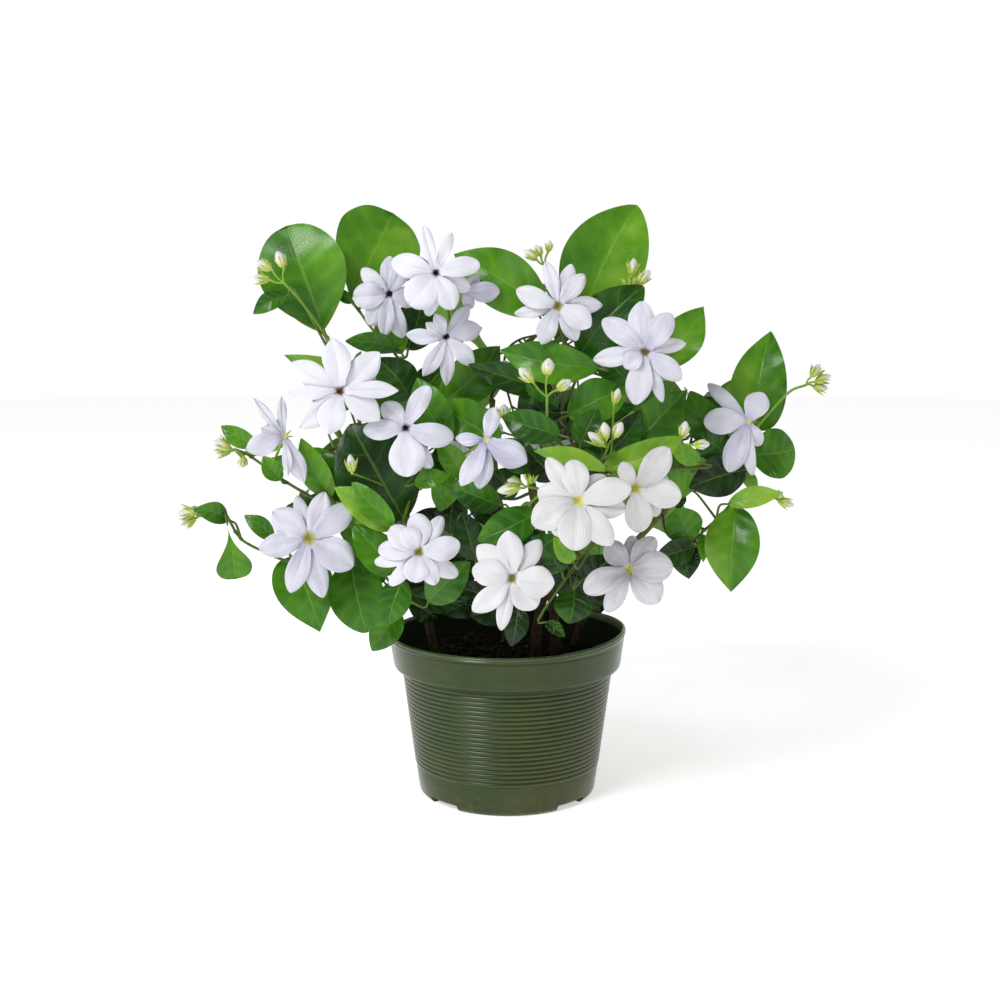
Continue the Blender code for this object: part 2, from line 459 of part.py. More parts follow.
class Placed:
    """Pieces already in place, against which a new one is tried."""

    def __init__(self):
        self.items = []

    def add(self, owner, verts, faces):
        tree = BVHTree.FromPolygons([v[:] for v in verts], faces, all_triangles=False)
        lo = Vector([min(v[k] for v in verts) for k in range(3)])
        hi = Vector([max(v[k] for v in verts) for k in range(3)])
        self.items.append((owner, tree, lo, hi))

    def hits(self, verts, faces, skip=(), only=None):
        """Count of crossing faces with what is in place, without 'skip' or with 'only'."""
        lo = Vector([min(v[k] for v in verts) for k in range(3)])
        hi = Vector([max(v[k] for v in verts) for k in range(3)])
        tree = None
        n = 0
        for owner, other, a, b in self.items:
            if only is None and (owner in skip or owner.endswith((".outer", ".stem"))):
                continue
            if only is not None and owner not in only:
                continue
            if any(lo[k] > b[k] or hi[k] < a[k] for k in range(3)):
                continue
            if tree is None:
                tree = BVHTree.FromPolygons([v[:] for v in verts], faces, all_triangles=False)
            n += len(tree.overlap(other))
        return n

    def hides(self, p):
        """True if something in place stands between the viewpoint and p."""
        d = p - EYE
        far = d.length - 0.002
        d.normalize()
        return any(tree.ray_cast(EYE, d, far)[0] is not None for owner, tree, a, b in self.items)

    def clear(self, blade, root, name):
        """Crossings of a leaf of shoot 'name', whose stalk meets its own stem at the root."""
        n = self.hits(*blade_solid(blade, root, LEAF_T, STATIONS, 0.0005), skip=(name, name + ".leaf"))
        if n == 0:
            outer = blade_solid(blade, root.lerp(stalk_bend(blade, root), 0.40), LEAF_T, STATIONS, 0.0003)
            n = self.hits(*outer, only=(name + ".outer", name + ".stem"))
        return n

    def add_leaf(self, blade, root, name):
        self.add(name + ".leaf", *blade_solid(blade, root, LEAF_T, STATIONS, 0.0005))
        self.add(name + ".outer", *blade_solid(blade, root.lerp(stalk_bend(blade, root), 0.40), LEAF_T, STATIONS, 0.0003))


def petals_3d(name, k=0):
    """Throat, facing, side and up directions, petal rows in metres, throat tone, shade."""
    if name in FLOWERS:
        (px, py, y, throat, shade), rows = FLOWERS[name]
        c = at(px, py, y)
        f = (EYE - c).normalized()
        rows = [(math.radians(a), span(l, c), span(w, c), dz * 0.001) for a, l, w, dz in rows]
    else:
        place, face, count, length = FAR_FLOWERS[name][1][k]
        c, f = mm(*place), Vector(face).normalized()
        throat, shade = 0.6, 0.2
        rng = random.Random(name + str(k))
        rows = []
        for j in range(count):
            a = 2 * math.pi * j / count + rng.uniform(-0.16, 0.16)
            l = length * 0.001 * rng.uniform(0.88, 1.08)
            rows.append((a, l, l * rng.uniform(0.44, 0.62), rng.uniform(-0.5, 4.0) * 0.001))
    u = Vector((0.0, 0.0, 1.0)).cross(f).normalized()
    return c, f, u, f.cross(u), rows, throat, shade


def petal_reach(row, w):
    """How far a petal's outline reaches from the throat in direction w."""
    a, length, width, dz = row
    d = abs((w - a + math.pi) % (2 * math.pi) - math.pi)
    if d > 1.3:
        return 0.0
    for i in range(24, 0, -1):
        r = length * i / 24
        t = min(r * math.cos(d) / length, 0.999)
        h = 0.5 * width * math.sin(math.pi * t ** 1.55) ** 0.62 if t > 0 else 0.0
        h = max(h, 0.16 * width * (1 - t))
        if r * math.sin(d) <= h:
            return r
    return 0.0


def flower_plate(name, thick, k=0, turns=24):
    """Closed plate with the outline and hollow of all the petals of one flower."""
    c, f, u, v, rows, throat, shade = petals_3d(name, k)
    floor = min(r[1] for r in rows) * 0.30
    front, back = [c + f * 0.0], [c - f * thick]
    for i in range(turns):
        w = 2 * math.pi * i / turns
        best, row = max(((petal_reach(r, w), r) for r in rows), key=lambda x: x[0])
        reach = max(best, floor)
        dz = row[3] * (reach / row[1]) ** 1.5 if best > floor else 0.001
        p = c + u * (reach * math.cos(w)) + v * (reach * math.sin(w)) - f * dz
        front.append(p)
        back.append(p - f * thick)
    verts = front + back
    m = turns + 1
    faces = []
    for i in range(turns):
        a, b = 1 + i, 1 + (i + 1) % turns
        faces += [(0, a, b), (m, m + b, m + a), (a, m + a, m + b, b)]
    return verts, faces


def flower_stalk(name, stems, radii):
    """Path and radii of the tube, calyx and stalk behind a flower, down to a stem."""
    c, f, u, v, rows, throat, shade = petals_3d(name)
    calyx = c - f * 0.0155 - Vector((0.0, 0.0, 0.0006))
    aim = c - f * 0.022 - Vector((0.0, 0.0, 0.010))
    d, key = min(((stems[k][nearest(stems[k], aim)] - aim).length, k) for k in stems)
    foot, e = leave(stems[key], radii[key], calyx)
    reach = (foot - calyx).length
    path = [c - f * 0.0006, c - f * 0.0080, calyx, calyx - f * 0.0030,
            (calyx - f * 0.006).lerp(foot + e * 0.004, 0.6), foot + e * 0.0025, foot]
    if reach < 0.012:
        path = path[:3] + [calyx.lerp(foot + e * 0.0025, 0.5), foot + e * 0.0025, foot]
        return path, [0.0016, 0.0012, 0.0019, 0.0010, 0.0008, 0.0008], key
    return path, [0.0016, 0.0012, 0.0020, 0.0013, 0.0008, 0.0008, 0.0008], key


def cluster_stalks(name, stems, radii):
    """Paths and radii of a far cluster: the common stalk, then one for each flower."""
    fork = mm(*FAR_FLOWERS[name][0])
    d, key = min(((stems[k][nearest(stems[k], fork)] - fork).length, k) for k in stems)
    foot, e = leave(stems[key], radii[key], fork)
    tubes = [([foot, foot + e * 0.002, foot.lerp(fork, 0.6), fork], [0.0009, 0.0009, 0.0010, 0.0011])]
    for k in range(len(FAR_FLOWERS[name][1])):
        c, f, u, v, rows, throat, shade = petals_3d(name, k)
        calyx = c - f * 0.0155 - Vector((0.0, 0.0, 0.0006))
        path = [c - f * 0.0006, c - f * 0.0080, calyx, calyx - f * 0.0030,
                (calyx - f * 0.006).lerp(fork, 0.6), fork - (calyx - fork).normalized() * 0.0003]
        tubes.append((path, [0.0016, 0.0012, 0.0020, 0.0013, 0.0008, 0.0008]))
    return tubes, key


def bud_parts(name, stems, radii):
    """Stalk paths and bud axes of a cluster: (paths with radii, buds)."""
    foot, fork, buds = BUDS[name]
    a, b = at(*foot), at(*fork)
    d, key = min(((stems[k][nearest(stems[k], a)] - a).length, k) for k in stems)
    start, e = leave(stems[key], radii[key], a)
    path = [start, start + e * 0.002]
    if d > 0.006:
        path.append(a)
    path.append(b)
    tubes = [(path, [0.0008] * len(path))]
    shapes, solids = [], []
    for bx, by, tx, ty, w, y, opening in buds:
        for step in (0, 2, -2, 4, -4, 6, -6, 8, -8, 10):
            base, tip = at(bx, by, y + step), at(tx, ty, y + step)
            shape = (base, tip, span(w, base), opening)
            line, rad = bud_line(b, *shape)
            tree = BVHTree.FromPolygons(*[list(q) for q in tube([line[0].lerp(line[1], 0.6)] + line[1:], [r + 0.0003 for r in rad], 6)])
            if not any(tree.overlap(other) for other in solids):
                break
        shapes.append(shape)
        solids.append(tree)
    return tubes, shapes


def bud_line(fork, base, tip, width, opening):
    """Path and radii of one bud with its own stalk from the fork."""
    d = tip - base
    path = [fork - (base - fork).normalized() * (0.0002 + 0.05 * width), base, base + d * 0.08]
    rad = [0.0007, 0.0007, 0.0013]
    if opening >= 0.9:
        rows = ((0.40, 0.0022), (1.0, 0.0010))
    else:
        rows = ((0.48, width * 0.46), (0.80, width * 0.38), (1.0, 0.0010))
    return path + [base + d * t for t, r in rows], rad + [r for t, r in rows]


def far_leaf(rng, stem_path, s, side, out):
    """Base, tip, normal of a leaf on the far side."""
    n = len(stem_path)
    k = min(int(s * (n - 1)), n - 2)
    p = stem_path[k].lerp(stem_path[k + 1], s * (n - 1) - k)
    run = (stem_path[min(int(s * (n - 1)) + 1, n - 1)] - stem_path[max(int(s * (n - 1)) - 1, 0)]).normalized()
    up = Vector((0.0, 0.0, 1.0))
    cross = run.cross(out).normalized() * side
    axis = (cross * rng.uniform(0.5, 1.1) + out * rng.uniform(0.1, 0.9) + run * rng.uniform(0.0, 0.6) + up * rng.uniform(-0.7, 0.5)).normalized()
    length = rng.uniform(0.046, 0.064)
    base = p + axis * rng.uniform(0.008, 0.018)
    normal = (out * rng.uniform(0.5, 1.0) + up * rng.uniform(0.2, 0.9)).normalized()
    return p, base, base + axis * length, normal, length


# ---------------------------------------------------------------- the whole plant
def grow():
    """Every part of the plant with its final place, shared by all the pieces."""
    stems, radii, parents = {}, {}, {}
    for name, (pts, r0, r1) in CANES.items():
        path = smooth([mm(*p) for p in pts], 2 * len(pts) - 1)
        stems[name] = path
        radii[name] = [r0 + (r1 - r0) * i / (len(path) - 1) for i in range(len(path))]
    for name in list(SHOOTS) + list(FAR_SHOOTS):
        parent = (SHOOTS.get(name) or FAR_SHOOTS[name])[0]
        pts = [at(*p) for p in SHOOTS[name][1]] if name in SHOOTS else [mm(*p) for p in FAR_SHOOTS[name][2][0][0]]
        start, e = leave(stems[parent], radii[parent], pts[0])
        path = [start] + smooth([start + e * 0.003] + pts, 2 * len(pts))
        stems[name] = path
        radii[name] = [0.0014 + (0.0009 - 0.0014) * i / (len(path) - 1) for i in range(len(path))]
    branches = {name: [] for name in stems}
    for name, (parent, seed, rows) in FAR_SHOOTS.items():
        for pts, pairs in rows[1:]:
            pts = [mm(*p) for p in pts]
            i = min(max(nearest(stems[name], pts[0]), 2), len(stems[name]) - 2)
            path = smooth([stems[name][i]] + pts, 5)
            branches[name].append((path, [0.00105, 0.0010, 0.0009, 0.0008, 0.0008]))
    placed = Placed()
    for name, path in stems.items():
        for path, rad in [(path, radii[name])] + branches[name]:
            placed.add(name, *tube(path, [r + 0.0005 for r in rad], 5))
            placed.add(name + ".stem", *tube(path, [r * 0.9 for r in rad], 4))
    flowers = {}
    for name in FLOWERS:
        path, rad, key = flower_stalk(name, stems, radii)
        flowers[name] = ([(path, rad)], key)
        placed.add(name, *flower_plate(name, PETAL_T + 0.0010))
        placed.add(name, *tube(path, [r + 0.0005 for r in rad], 6))
    for name in FAR_FLOWERS:
        tubes, key = cluster_stalks(name, stems, radii)
        flowers[name] = (tubes, key)
        for k in range(len(tubes) - 1):
            placed.add(name, *flower_plate(name, PETAL_T + 0.0010, k))
        for path, rad in tubes:
            placed.add(name, *tube(path, [r + 0.0005 for r in rad], 6))
    buds = {}
    for name in BUDS:
        tubes, shapes = bud_parts(name, stems, radii)
        buds[name] = (tubes, shapes)
        for path, rad in tubes:
            placed.add(name, *tube(path, [r + 0.0005 for r in rad], 5))
        for shape in shapes:
            path, rad = bud_line(tubes[0][0][-1], *shape)
            placed.add(name, *tube(path, [r + 0.0005 for r in rad], 6))
    leaves = []
    log = []
    moves = [0, 4, -4, 8, -8, 12, -12, 16, 20, 26]
    trials = sorted((abs(a) + 0.7 * abs(b) + 0.5 * abs(c) + 2.5 * abs(d), a, b, c, d)
                    for a in moves for b in (0, 7, -7, 14, -14) for c in (0, 18, -18) for d in (0, 1, -1, 2, -2))
    for name, row in SHOOTS.items():
        for j, (bx, by, bd, tx, ty, td, w, roll, arch, fold, tone) in enumerate(row[2]):
            best = None
            for cost, ds, dt, dr, dk in trials:
                base, tip = at(bx, by, bd + ds), at(tx, ty, td + ds + dt)
                mid = base.lerp(tip, 0.5)
                n = (EYE - mid).normalized()
                axis = (tip - base).normalized()
                turn = math.radians(roll + dr)
                n = (n - axis * n.dot(axis)).normalized()
                n = Matrix.Rotation(turn, 3, axis) @ n
                blade = Blade(base, tip, span(w, mid) / max(math.cos(turn), 0.4), n, arch * 0.001, fold, 0.50, 0.72)
                k = nearest(stems[name][2:], base) + 2 + dk
                if not 1 <= k < len(stems[name]):
                    continue
                root = stems[name][k]
                hits = placed.clear(blade, root, name)
                if best is None or hits < best[0]:
                    best = (hits, cost, blade, root)
                if hits == 0:
                    break
            hits, cost, blade, root = best
            log.append((name, j, hits, round(cost, 1)))
            leaves.append((name, blade, root, tone, hits))
            placed.add_leaf(blade, root, name)
    # leaves of the other sides: each is tried in a few attitudes, and kept if it is
    # clear of its neighbours and stays behind what is already seen
    hub = Vector((0.0, 0.0, 0.20))
    for name, (parent, seed, rows) in FAR_SHOOTS.items():
        rng = random.Random(seed)
        for b, (pts, pairs) in enumerate(rows):
            path = stems[name] if b == 0 else branches[name][b - 1][0]
            for j in range(pairs * 2):
                done = False
                for attempt in range(60):
                    s = (0.35 if b == 0 else 0.30) + (0.65 if b == 0 else 0.70) * ((j // 2) + 0.5) / pairs
                    p = path[min(int(s * (len(path) - 1)), len(path) - 1)]
                    out = p - hub
                    out.z *= 0.6
                    out.normalize()
                    root, base, tip, normal, length = far_leaf(rng, path, s, 1 if j % 2 else -1, out)
                    blade = Blade(base, tip, length * rng.uniform(0.58, 0.70), normal, rng.uniform(0.003, 0.007), rng.uniform(0.10, 0.25), 0.48, 0.72)
                    blade.straight = True
                    if placed.clear(blade, root, name):
                        continue
                    marks = [blade.point(t, q) for t in (0.12, 0.35, 0.6, 0.85) for q in (-1, 0, 1)] + [tip, base]
                    if not all(placed.hides(m) for m in marks):
                        continue
                    leaves.append((name, blade, root, rng.uniform(0.15, 0.75), 0))
                    placed.add_leaf(blade, root, name)
                    done = True
                    break
                log.append((name, j, 0 if done else -1, b))
    return stems, radii, branches, flowers, buds, leaves, log


# ---------------------------------------------------------------- building solids
def material(name, rgb, rough, metal=0.0):
    m = bpy.data.materials.new(name)
    m.use_nodes = True
    b = m.node_tree.nodes["Principled BSDF"]
    b.inputs["Base Color"].default_value = (*rgb, 1.0)
    b.inputs["Roughness"].default_value = rough
    b.inputs["Metallic"].default_value = metal
    return m


MAT_POT = material("pot_plastic", (0.066, 0.090, 0.038), 0.42)
MAT_MIX = material("potting_mix", (0.012, 0.009, 0.007), 0.95)
MAT_BARK = material("bark", (0.190, 0.115, 0.050), 0.75)
MAT_LEAF = material("leaf", (0.075, 0.230, 0.020), 0.38)
MAT_PETAL = material("petal", (0.860, 0.850, 0.880), 0.55)
MAT_BUD = material("bud", (0.720, 0.740, 0.480), 0.55)


def mesh_object(name, verts, faces, mat):
    me = bpy.data.meshes.new(name)
    me.from_pydata([v[:] for v in verts], [], faces)
    bm = bmesh.new()
    bm.from_mesh(me)
    bmesh.ops.triangulate(bm, faces=bm.faces)
    bm.to_mesh(me)
    if bm.calc_volume(signed=True) < 0:
        me.flip_normals()
    bm.free()
    me.materials.append(mat)
    ob = bpy.data.objects.new(name, me)
    bpy.context.scene.collection.objects.link(ob)
    return ob


def settle(ob):
    """Replace an object's mesh by its evaluated one and drop its modifiers."""
    graph = bpy.context.evaluated_depsgraph_get()
    me = bpy.data.meshes.new_from_object(ob.evaluated_get(graph))
    ob.modifiers.clear()
    ob.data = me


def combine(ob, others, operation):
    """Boolean of one object with others in turn, which are then removed."""
    for o in others:
        mod = ob.modifiers.new("join", "BOOLEAN")
        mod.operation = operation
        mod.object = o
        mod.solver = "EXACT"
    settle(ob)
    for o in others:
        bpy.data.objects.remove(o, do_unlink=True)
    tidy(ob)


def sound(bm, volume):
    """True for one closed body that kept its volume."""
    if any(len(e.link_faces) != 2 for e in bm.edges):
        return False
    if abs(bm.calc_volume(signed=True) - volume) > 0.02 * abs(volume):
        return False
    bm.faces.ensure_lookup_table()
    reached, queue = {0}, [bm.faces[0]]
    while queue:
        for e in queue.pop().edges:
            for f in e.link_faces:
                if f.index not in reached:
                    reached.add(f.index)
                    queue.append(f)
    return len(reached) == len(bm.faces)


def tidy(ob):
    """Keep triangles, and weld the slivers of a join as far as the body stays sound."""
    for dist in (0.00050, 0.00035, 0.00020, 0.00010, 0.0):
        bm = bmesh.new()
        bm.from_mesh(ob.data)
        volume = bm.calc_volume(signed=True)
        if dist:
            bmesh.ops.remove_doubles(bm, verts=bm.verts, dist=dist)
            bmesh.ops.dissolve_degenerate(bm, edges=bm.edges, dist=0.00001)
        bmesh.ops.triangulate(bm, faces=bm.faces)
        bm.faces.index_update()
        if not dist or sound(bm, volume):
            bm.to_mesh(ob.data)
            bm.free()
            return
        bm.free()


def turned(name, profile, sides, mat, wobble=None):
    """Solid turned about Z from (radius, height) points, first and last on the axis."""
    verts = [Vector((0.0, 0.0, profile[0][1]))]
    rings = profile[1:-1]
    for j, (r, z) in enumerate(rings):
        for k in range(sides):
            w = 2 * math.pi * k / sides
            lift = wobble(j, w) if wobble else 0.0
            verts.append(Vector((r * math.cos(w), r * math.sin(w), z + lift)))
    verts.append(Vector((0.0, 0.0, profile[-1][1])))
    faces = []
    for k in range(sides):
        k2 = (k + 1) % sides
        faces.append((0, 1 + k2, 1 + k))
        for j in range(len(rings) - 1):
            a, b = 1 + j * sides, 1 + (j + 1) * sides
            faces.append((a + k, a + k2, b + k2, b + k))
        e = 1 + (len(rings) - 1) * sides
        faces.append((e + k, e + k2, len(verts) - 1))
    return mesh_object(name, verts, faces, mat)


def blade_rings(blade, root, thick, stations):
    """Rings of four points along a leaf from its stalk's bend on, and its tip."""
    verts, faces = blade_solid(blade, root, thick, stations)
    n = (len(verts) - 1) // 4
    return [verts[4 * i:4 * i + 4] for i in range(1, n)], verts[-1]


def tube_rings(path, radii):
    verts, faces = tube(path, radii, 4)
    return [verts[4 * i:4 * i + 4] for i in range(len(path))]


def along(path, p):
    """Length along a path to the place nearest to p."""
    best, run = (1e9, 0.0), 0.0
    for a, b in zip(path, path[1:]):
        d = b - a
        t = max(0.0, min(1.0, (p - a).dot(d) / d.length_squared))
        miss = (a + d * t - p).length
        if miss < best[0] - 1e-7:
            best = (miss, run + t * d.length)
        run += d.length
    return best[1]


def joined(path, radii, limbs, half=0.0010, cap=True):
    """One closed body: a four-sided stem whose limbs spring from short nodes on it.
    A limb is (root, rings of four points, tip point or None, limbs of its own)."""
    lengths = [0.0]
    for a, b in zip(path, path[1:]):
        lengths.append(lengths[-1] + (b - a).length)
    total = lengths[-1]

    def place(s):
        k = 0
        while k < len(path) - 2 and lengths[k + 1] < s:
            k += 1
        t = (s - lengths[k]) / (lengths[k + 1] - lengths[k])
        return path[k].lerp(path[k + 1], t), radii[k] + (radii[k + 1] - radii[k]) * t

    nodes = []
    for limb in sorted(limbs, key=lambda l: along(path, l[0])):
        s = min(max(along(path, limb[0]), 2.2 * half), total - half)
        if nodes and s - nodes[-1][0] < 2.3 * half:
            if len(nodes[-1][1]) < 4:
                nodes[-1][1].append(limb)
                continue
            s = nodes[-1][0] + 2.3 * half
        nodes.append([s, [limb]])
    # the limb that carries on in the stem's own line takes its end
    end, final = path[-1], None
    run = (path[-1] - path[-2]).normalized()
    if cap and nodes and nodes[-1][0] > total - 6 * half:
        ahead = lambda l: (sum(l[1][0], Vector()) / 4 - end).normalized().dot(run)
        final = max(nodes[-1][1], key=ahead)
        if ahead(final) > 0.6:
            nodes[-1][1].remove(final)
            if not nodes[-1][1]:
                nodes.pop()
        else:
            final = None
    # nodes that run past the end are pushed back along the stem
    top = total - half
    for node in reversed(nodes):
        node[0] = min(node[0], top)
        top = node[0] - 2.3 * half
    stations = []
    for s in lengths:
        if all(abs(s - node[0]) > 2.2 * half for node in nodes) or s == 0.0 or (s == total and all(node[0] + half < total - 1e-6 for node in nodes)):
            stations.append((s, None))
    for node in nodes:
        stations += [(node[0] - half, node), (node[0] + half, None)]
    stations.sort(key=lambda x: x[0])
    line = [place(s) for s, node in stations]
    rings = tube_rings([p for p, r in line], [r for p, r in line])
    verts = [v for ring in rings for v in ring]
    faces = []

    def limb_faces(quad, rings, tip):
        """Faces from an open quad of the stem out along one limb."""
        quad_at = [verts[i] for i in quad]
        shift = min(range(4), key=lambda q: sum((quad_at[j] - rings[0][(j + q) % 4]).length for j in range(4)))
        last = list(quad)
        for r in rings:
            new = list(range(len(verts), len(verts) + 4))
            verts.extend(r[(j + shift) % 4] for j in range(4))
            for j in range(4):
                faces.append((last[j], last[(j + 1) % 4], new[(j + 1) % 4], new[j]))
            last = new
        if tip is None:
            faces.append(tuple(last))
        else:
            verts.append(tip)
            for j in range(4):
                faces.append((last[j], last[(j + 1) % 4], len(verts) - 1))

    for i in range(len(rings) - 1):
        quads = [(i * 4 + k, i * 4 + (k + 1) % 4, (i + 1) * 4 + (k + 1) % 4, (i + 1) * 4 + k) for k in range(4)]
        node = stations[i][1]
        taken = {}
        if node:
            middle = (line[i][0] + line[i + 1][0]) * 0.5
            wish = []
            for n, limb in enumerate(node[1]):
                d = (sum(limb[1][0], Vector()) / 4 - middle).normalized()
                for k in range(4):
                    q = sum((verts[v] for v in quads[k]), Vector()) / 4 - middle
                    wish.append((-d.dot(q.normalized()), n, k))
            done = set()
            for score, n, k in sorted(wish):
                if n not in done and k not in taken:
                    taken[k] = node[1][n]
                    done.add(n)
        for k in range(4):
            if k in taken:
                limb_faces(quads[k], taken[k][1], taken[k][2])
            else:
                faces.append(quads[k])
    faces.append((3, 2, 1, 0))
    e = (len(rings) - 1) * 4
    if final:
        limb_faces((e, e + 1, e + 2, e + 3), final[1], final[2])
    else:
        faces.append((e, e + 1, e + 2, e + 3))
    return verts, faces


def crosses(verts, faces):
    """True if a body's surface runs through itself."""
    tris = [(f[0], f[i], f[i + 1]) for f in faces for i in range(1, len(f) - 1)]
    tree = BVHTree.FromPolygons([v[:] for v in verts], tris)
    return any(a < b and not set(tris[a]) & set(tris[b]) for a, b in tree.overlap(tree))


def sprung(path, radii, limbs, half=0.0010, cap=True):
    """The limbs that can spring from the stem's own faces, and those that have to be joined to it."""
    kept, rest = [], []
    for limb in limbs:
        if crosses(*joined(path, radii, kept + [limb], half, cap)):
            rest.append(limb)
        else:
            kept.append(limb)
    return kept, rest


def build_pot():
    band_low = POT_H - BAND_H
    taper = (WALL_TOP_R - FOOT_R) / (band_low - 0.003)
    inner = lambda z: FOOT_R + taper * (z - 0.003) - WALL_T
    profile = [
        (0.0, 0.0), (FOOT_R - 0.0028, 0.0), (FOOT_R, 0.0030), (FOOT_R + taper * 0.014, 0.0170),
        (WALL_TOP_R, band_low), (BAND_LOW_R, band_low + 0.0005), (BAND_TOP_R, POT_H - RIM_LIP - 0.0008),
        (RIM_R, POT_H - RIM_LIP), (RIM_R, POT_H - 0.0009), (RIM_R - 0.0009, POT_H), (RIM_R - 0.0022, POT_H),
        (BAND_TOP_R - 0.0020, POT_H - RIM_LIP), (BAND_LOW_R - 0.0018, band_low + 0.0030), (inner(band_low + 0.0022), band_low + 0.0022),
        (inner(FLOOR_T + 0.0030), FLOOR_T + 0.0030), (inner(0.003) - 0.0030, FLOOR_T), (0.0, FLOOR_T),
    ]
    pot = turned("pot", profile, 36, MAT_POT, lambda j, w: rim_rise(w) if 5 <= j <= 10 else 0.0)
    cutters = []
    for k in range(4):
        w = math.pi / 4 + k * math.pi / 2
        half = math.radians(12.0)
        verts = []
        for z in (-0.0030, 0.0040):
            for r, q in ((0.0475, -half), (0.0640, -half), (0.0640, half), (0.0475, half)):
                verts.append(Vector((r * math.cos(w + q), r * math.sin(w + q), z)))
        faces = [(3, 2, 1, 0), (4, 5, 6, 7), (0, 1, 5, 4), (1, 2, 6, 5), (2, 3, 7, 6), (3, 0, 4, 7)]
        cutters.append(mesh_object("notch", verts, faces, MAT_POT))
    combine(pot, cutters, "DIFFERENCE")
    return inner


def build_mix(inner, stems, radii):
    low, top = FLOOR_T + GAP, SOIL_TOP
    knob = lambda j, w: (0.0011 * math.sin(3 * w + 1.3 * j) + 0.0008 * math.sin(5 * w + 2.1 * j)) if j >= 3 else 0.0
    band_low = POT_H - BAND_H
    profile = [
        (0.0, low), (inner(0.003) - 0.0034, low), (inner(0.0052) - GAP, 0.0062), (inner(band_low - 0.0035) - GAP - 0.0003, band_low - 0.0035),
        (inner(band_low) - 0.0035, top - 0.0005), (0.0440, top + 0.0012), (0.0220, top + 0.0020), (0.0, top + 0.0022),
    ]
    mix = turned("potting_mix", profile, 28, MAT_MIX, knob)
    cutters = []
    for name in CANES:
        path, rad = stems[name], radii[name]
        reach = [i for i in range(len(path)) if path[i].z < SOIL_TOP + 0.030]
        line = [path[i] for i in reach]
        line[0] = line[0] + (line[0] - line[1]).normalized() * GAP
        cutters.append(mesh_object("socket", *tube(line, [rad[i] + GAP for i in reach], 6), MAT_BARK))
    combine(mix, cutters, "DIFFERENCE")


def build_shoot(name, path, radii, branches, leaves, busy):
    """A green shoot in one body: stem, branches and leaves. 'busy' are the feet of
    flower and bud stalks, which keep a stem's end free of leaves."""
    stations = STATIONS if name in SHOOTS else (0.24, 0.64)
    lines = [(path, radii)] + branches
    limbs = [[] for line in lines]
    for owner, blade, root, tone, hits in leaves:
        k = min(range(len(lines)), key=lambda i: off_line(lines[i][0], root))
        rings, tip = blade_rings(blade, root, LEAF_T, stations)
        limbs[k].append((root, rings, tip, blade))
    bodies = []
    for (line, rad), own in zip(lines, limbs):
        cap = all((foot - line[-1]).length > 0.0025 for foot in busy)
        kept, rest = sprung(line, rad, own, cap=cap)
        bodies.append(mesh_object("branch", *joined(line, rad, kept, cap=cap), MAT_LEAF))
        bodies += [mesh_object("leaf", *blade_solid(blade, root, LEAF_T, stations), MAT_LEAF) for root, rings, tip, blade in rest]
    ob = bodies.pop(0)
    ob.name = name
    if bodies:
        combine(ob, bodies, "UNION")
    return ob


def off_line(path, p):
    """Distance of a point from a path."""
    best = 1e9
    for a, b in zip(path, path[1:]):
        d = b - a
        t = max(0.0, min(1.0, (p - a).dot(d) / d.length_squared))
        best = min(best, (a + d * t - p).length)
    return best


def build_buds(name, stalk, shapes):
    """A cluster of buds in one body: the stalk, then each bud on its own short stalk."""
    path, rad = stalk
    limbs = []
    for shape in shapes:
        line, radii = bud_line(path[-1], *shape)
        limbs.append((path[-1], tube_rings(line, radii)[1:], None, (line, radii)))
    kept, rest = sprung(path, rad, limbs, 0.0008)
    ob = mesh_object(name, *joined(path, rad, kept, 0.0008), MAT_BUD)
    if rest:
        combine(ob, [mesh_object("bud", *tube(*limb[3], 4), MAT_BUD) for limb in rest], "UNION")
    return ob


def build():
    stems, radii, branches, flowers, buds, leaves, log = grow()
    inner = build_pot()
    build_mix(inner, stems, radii)
    for name in CANES:
        mesh_object(name, *tube(stems[name], radii[name], 6), MAT_BARK)
    busy = [tubes[0][0][0] for tubes, shapes in buds.values()]
    for name, (tubes, key) in flowers.items():
        busy.append(tubes[0][0][0] if len(tubes) > 1 else tubes[0][0][-1])
    for name in list(SHOOTS) + list(FAR_SHOOTS):
        build_shoot(name, stems[name], radii[name], branches[name], [l for l in leaves if l[0] == name], busy)
    for name, (tubes, key) in flowers.items():
        ob = mesh_object(name, *flower_plate(name, PETAL_T), MAT_PETAL)
        parts = [mesh_object("stalk", *tube(path, rad, 5), MAT_PETAL) for path, rad in reversed(tubes)]
        parts += [mesh_object("petals", *flower_plate(name, PETAL_T, k), MAT_PETAL) for k in range(1, len(tubes) - 1)]
        combine(ob, parts, "UNION")
    for name, (tubes, shapes) in buds.items():
        build_buds(name, tubes[0], shapes)
    for ob in bpy.context.scene.objects:
        ob.data.shade_smooth()
        ob.data.set_sharp_from_angle(angle=math.radians(40.0))


build()
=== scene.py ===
"""Potted Arabian jasmine: the looks of the plant and its pot, built around the
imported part. Every piece of the part is replaced by a finer one in the same place:
leaves with veins and wavy margins, double white flowers of single petals, buds,
bark, a ribbed nursery pot and loose potting mix."""

import math
import random

import bpy
import numpy as np
from mathutils import Vector, Matrix, Quaternion, noise
from mathutils.bvhtree import BVHTree


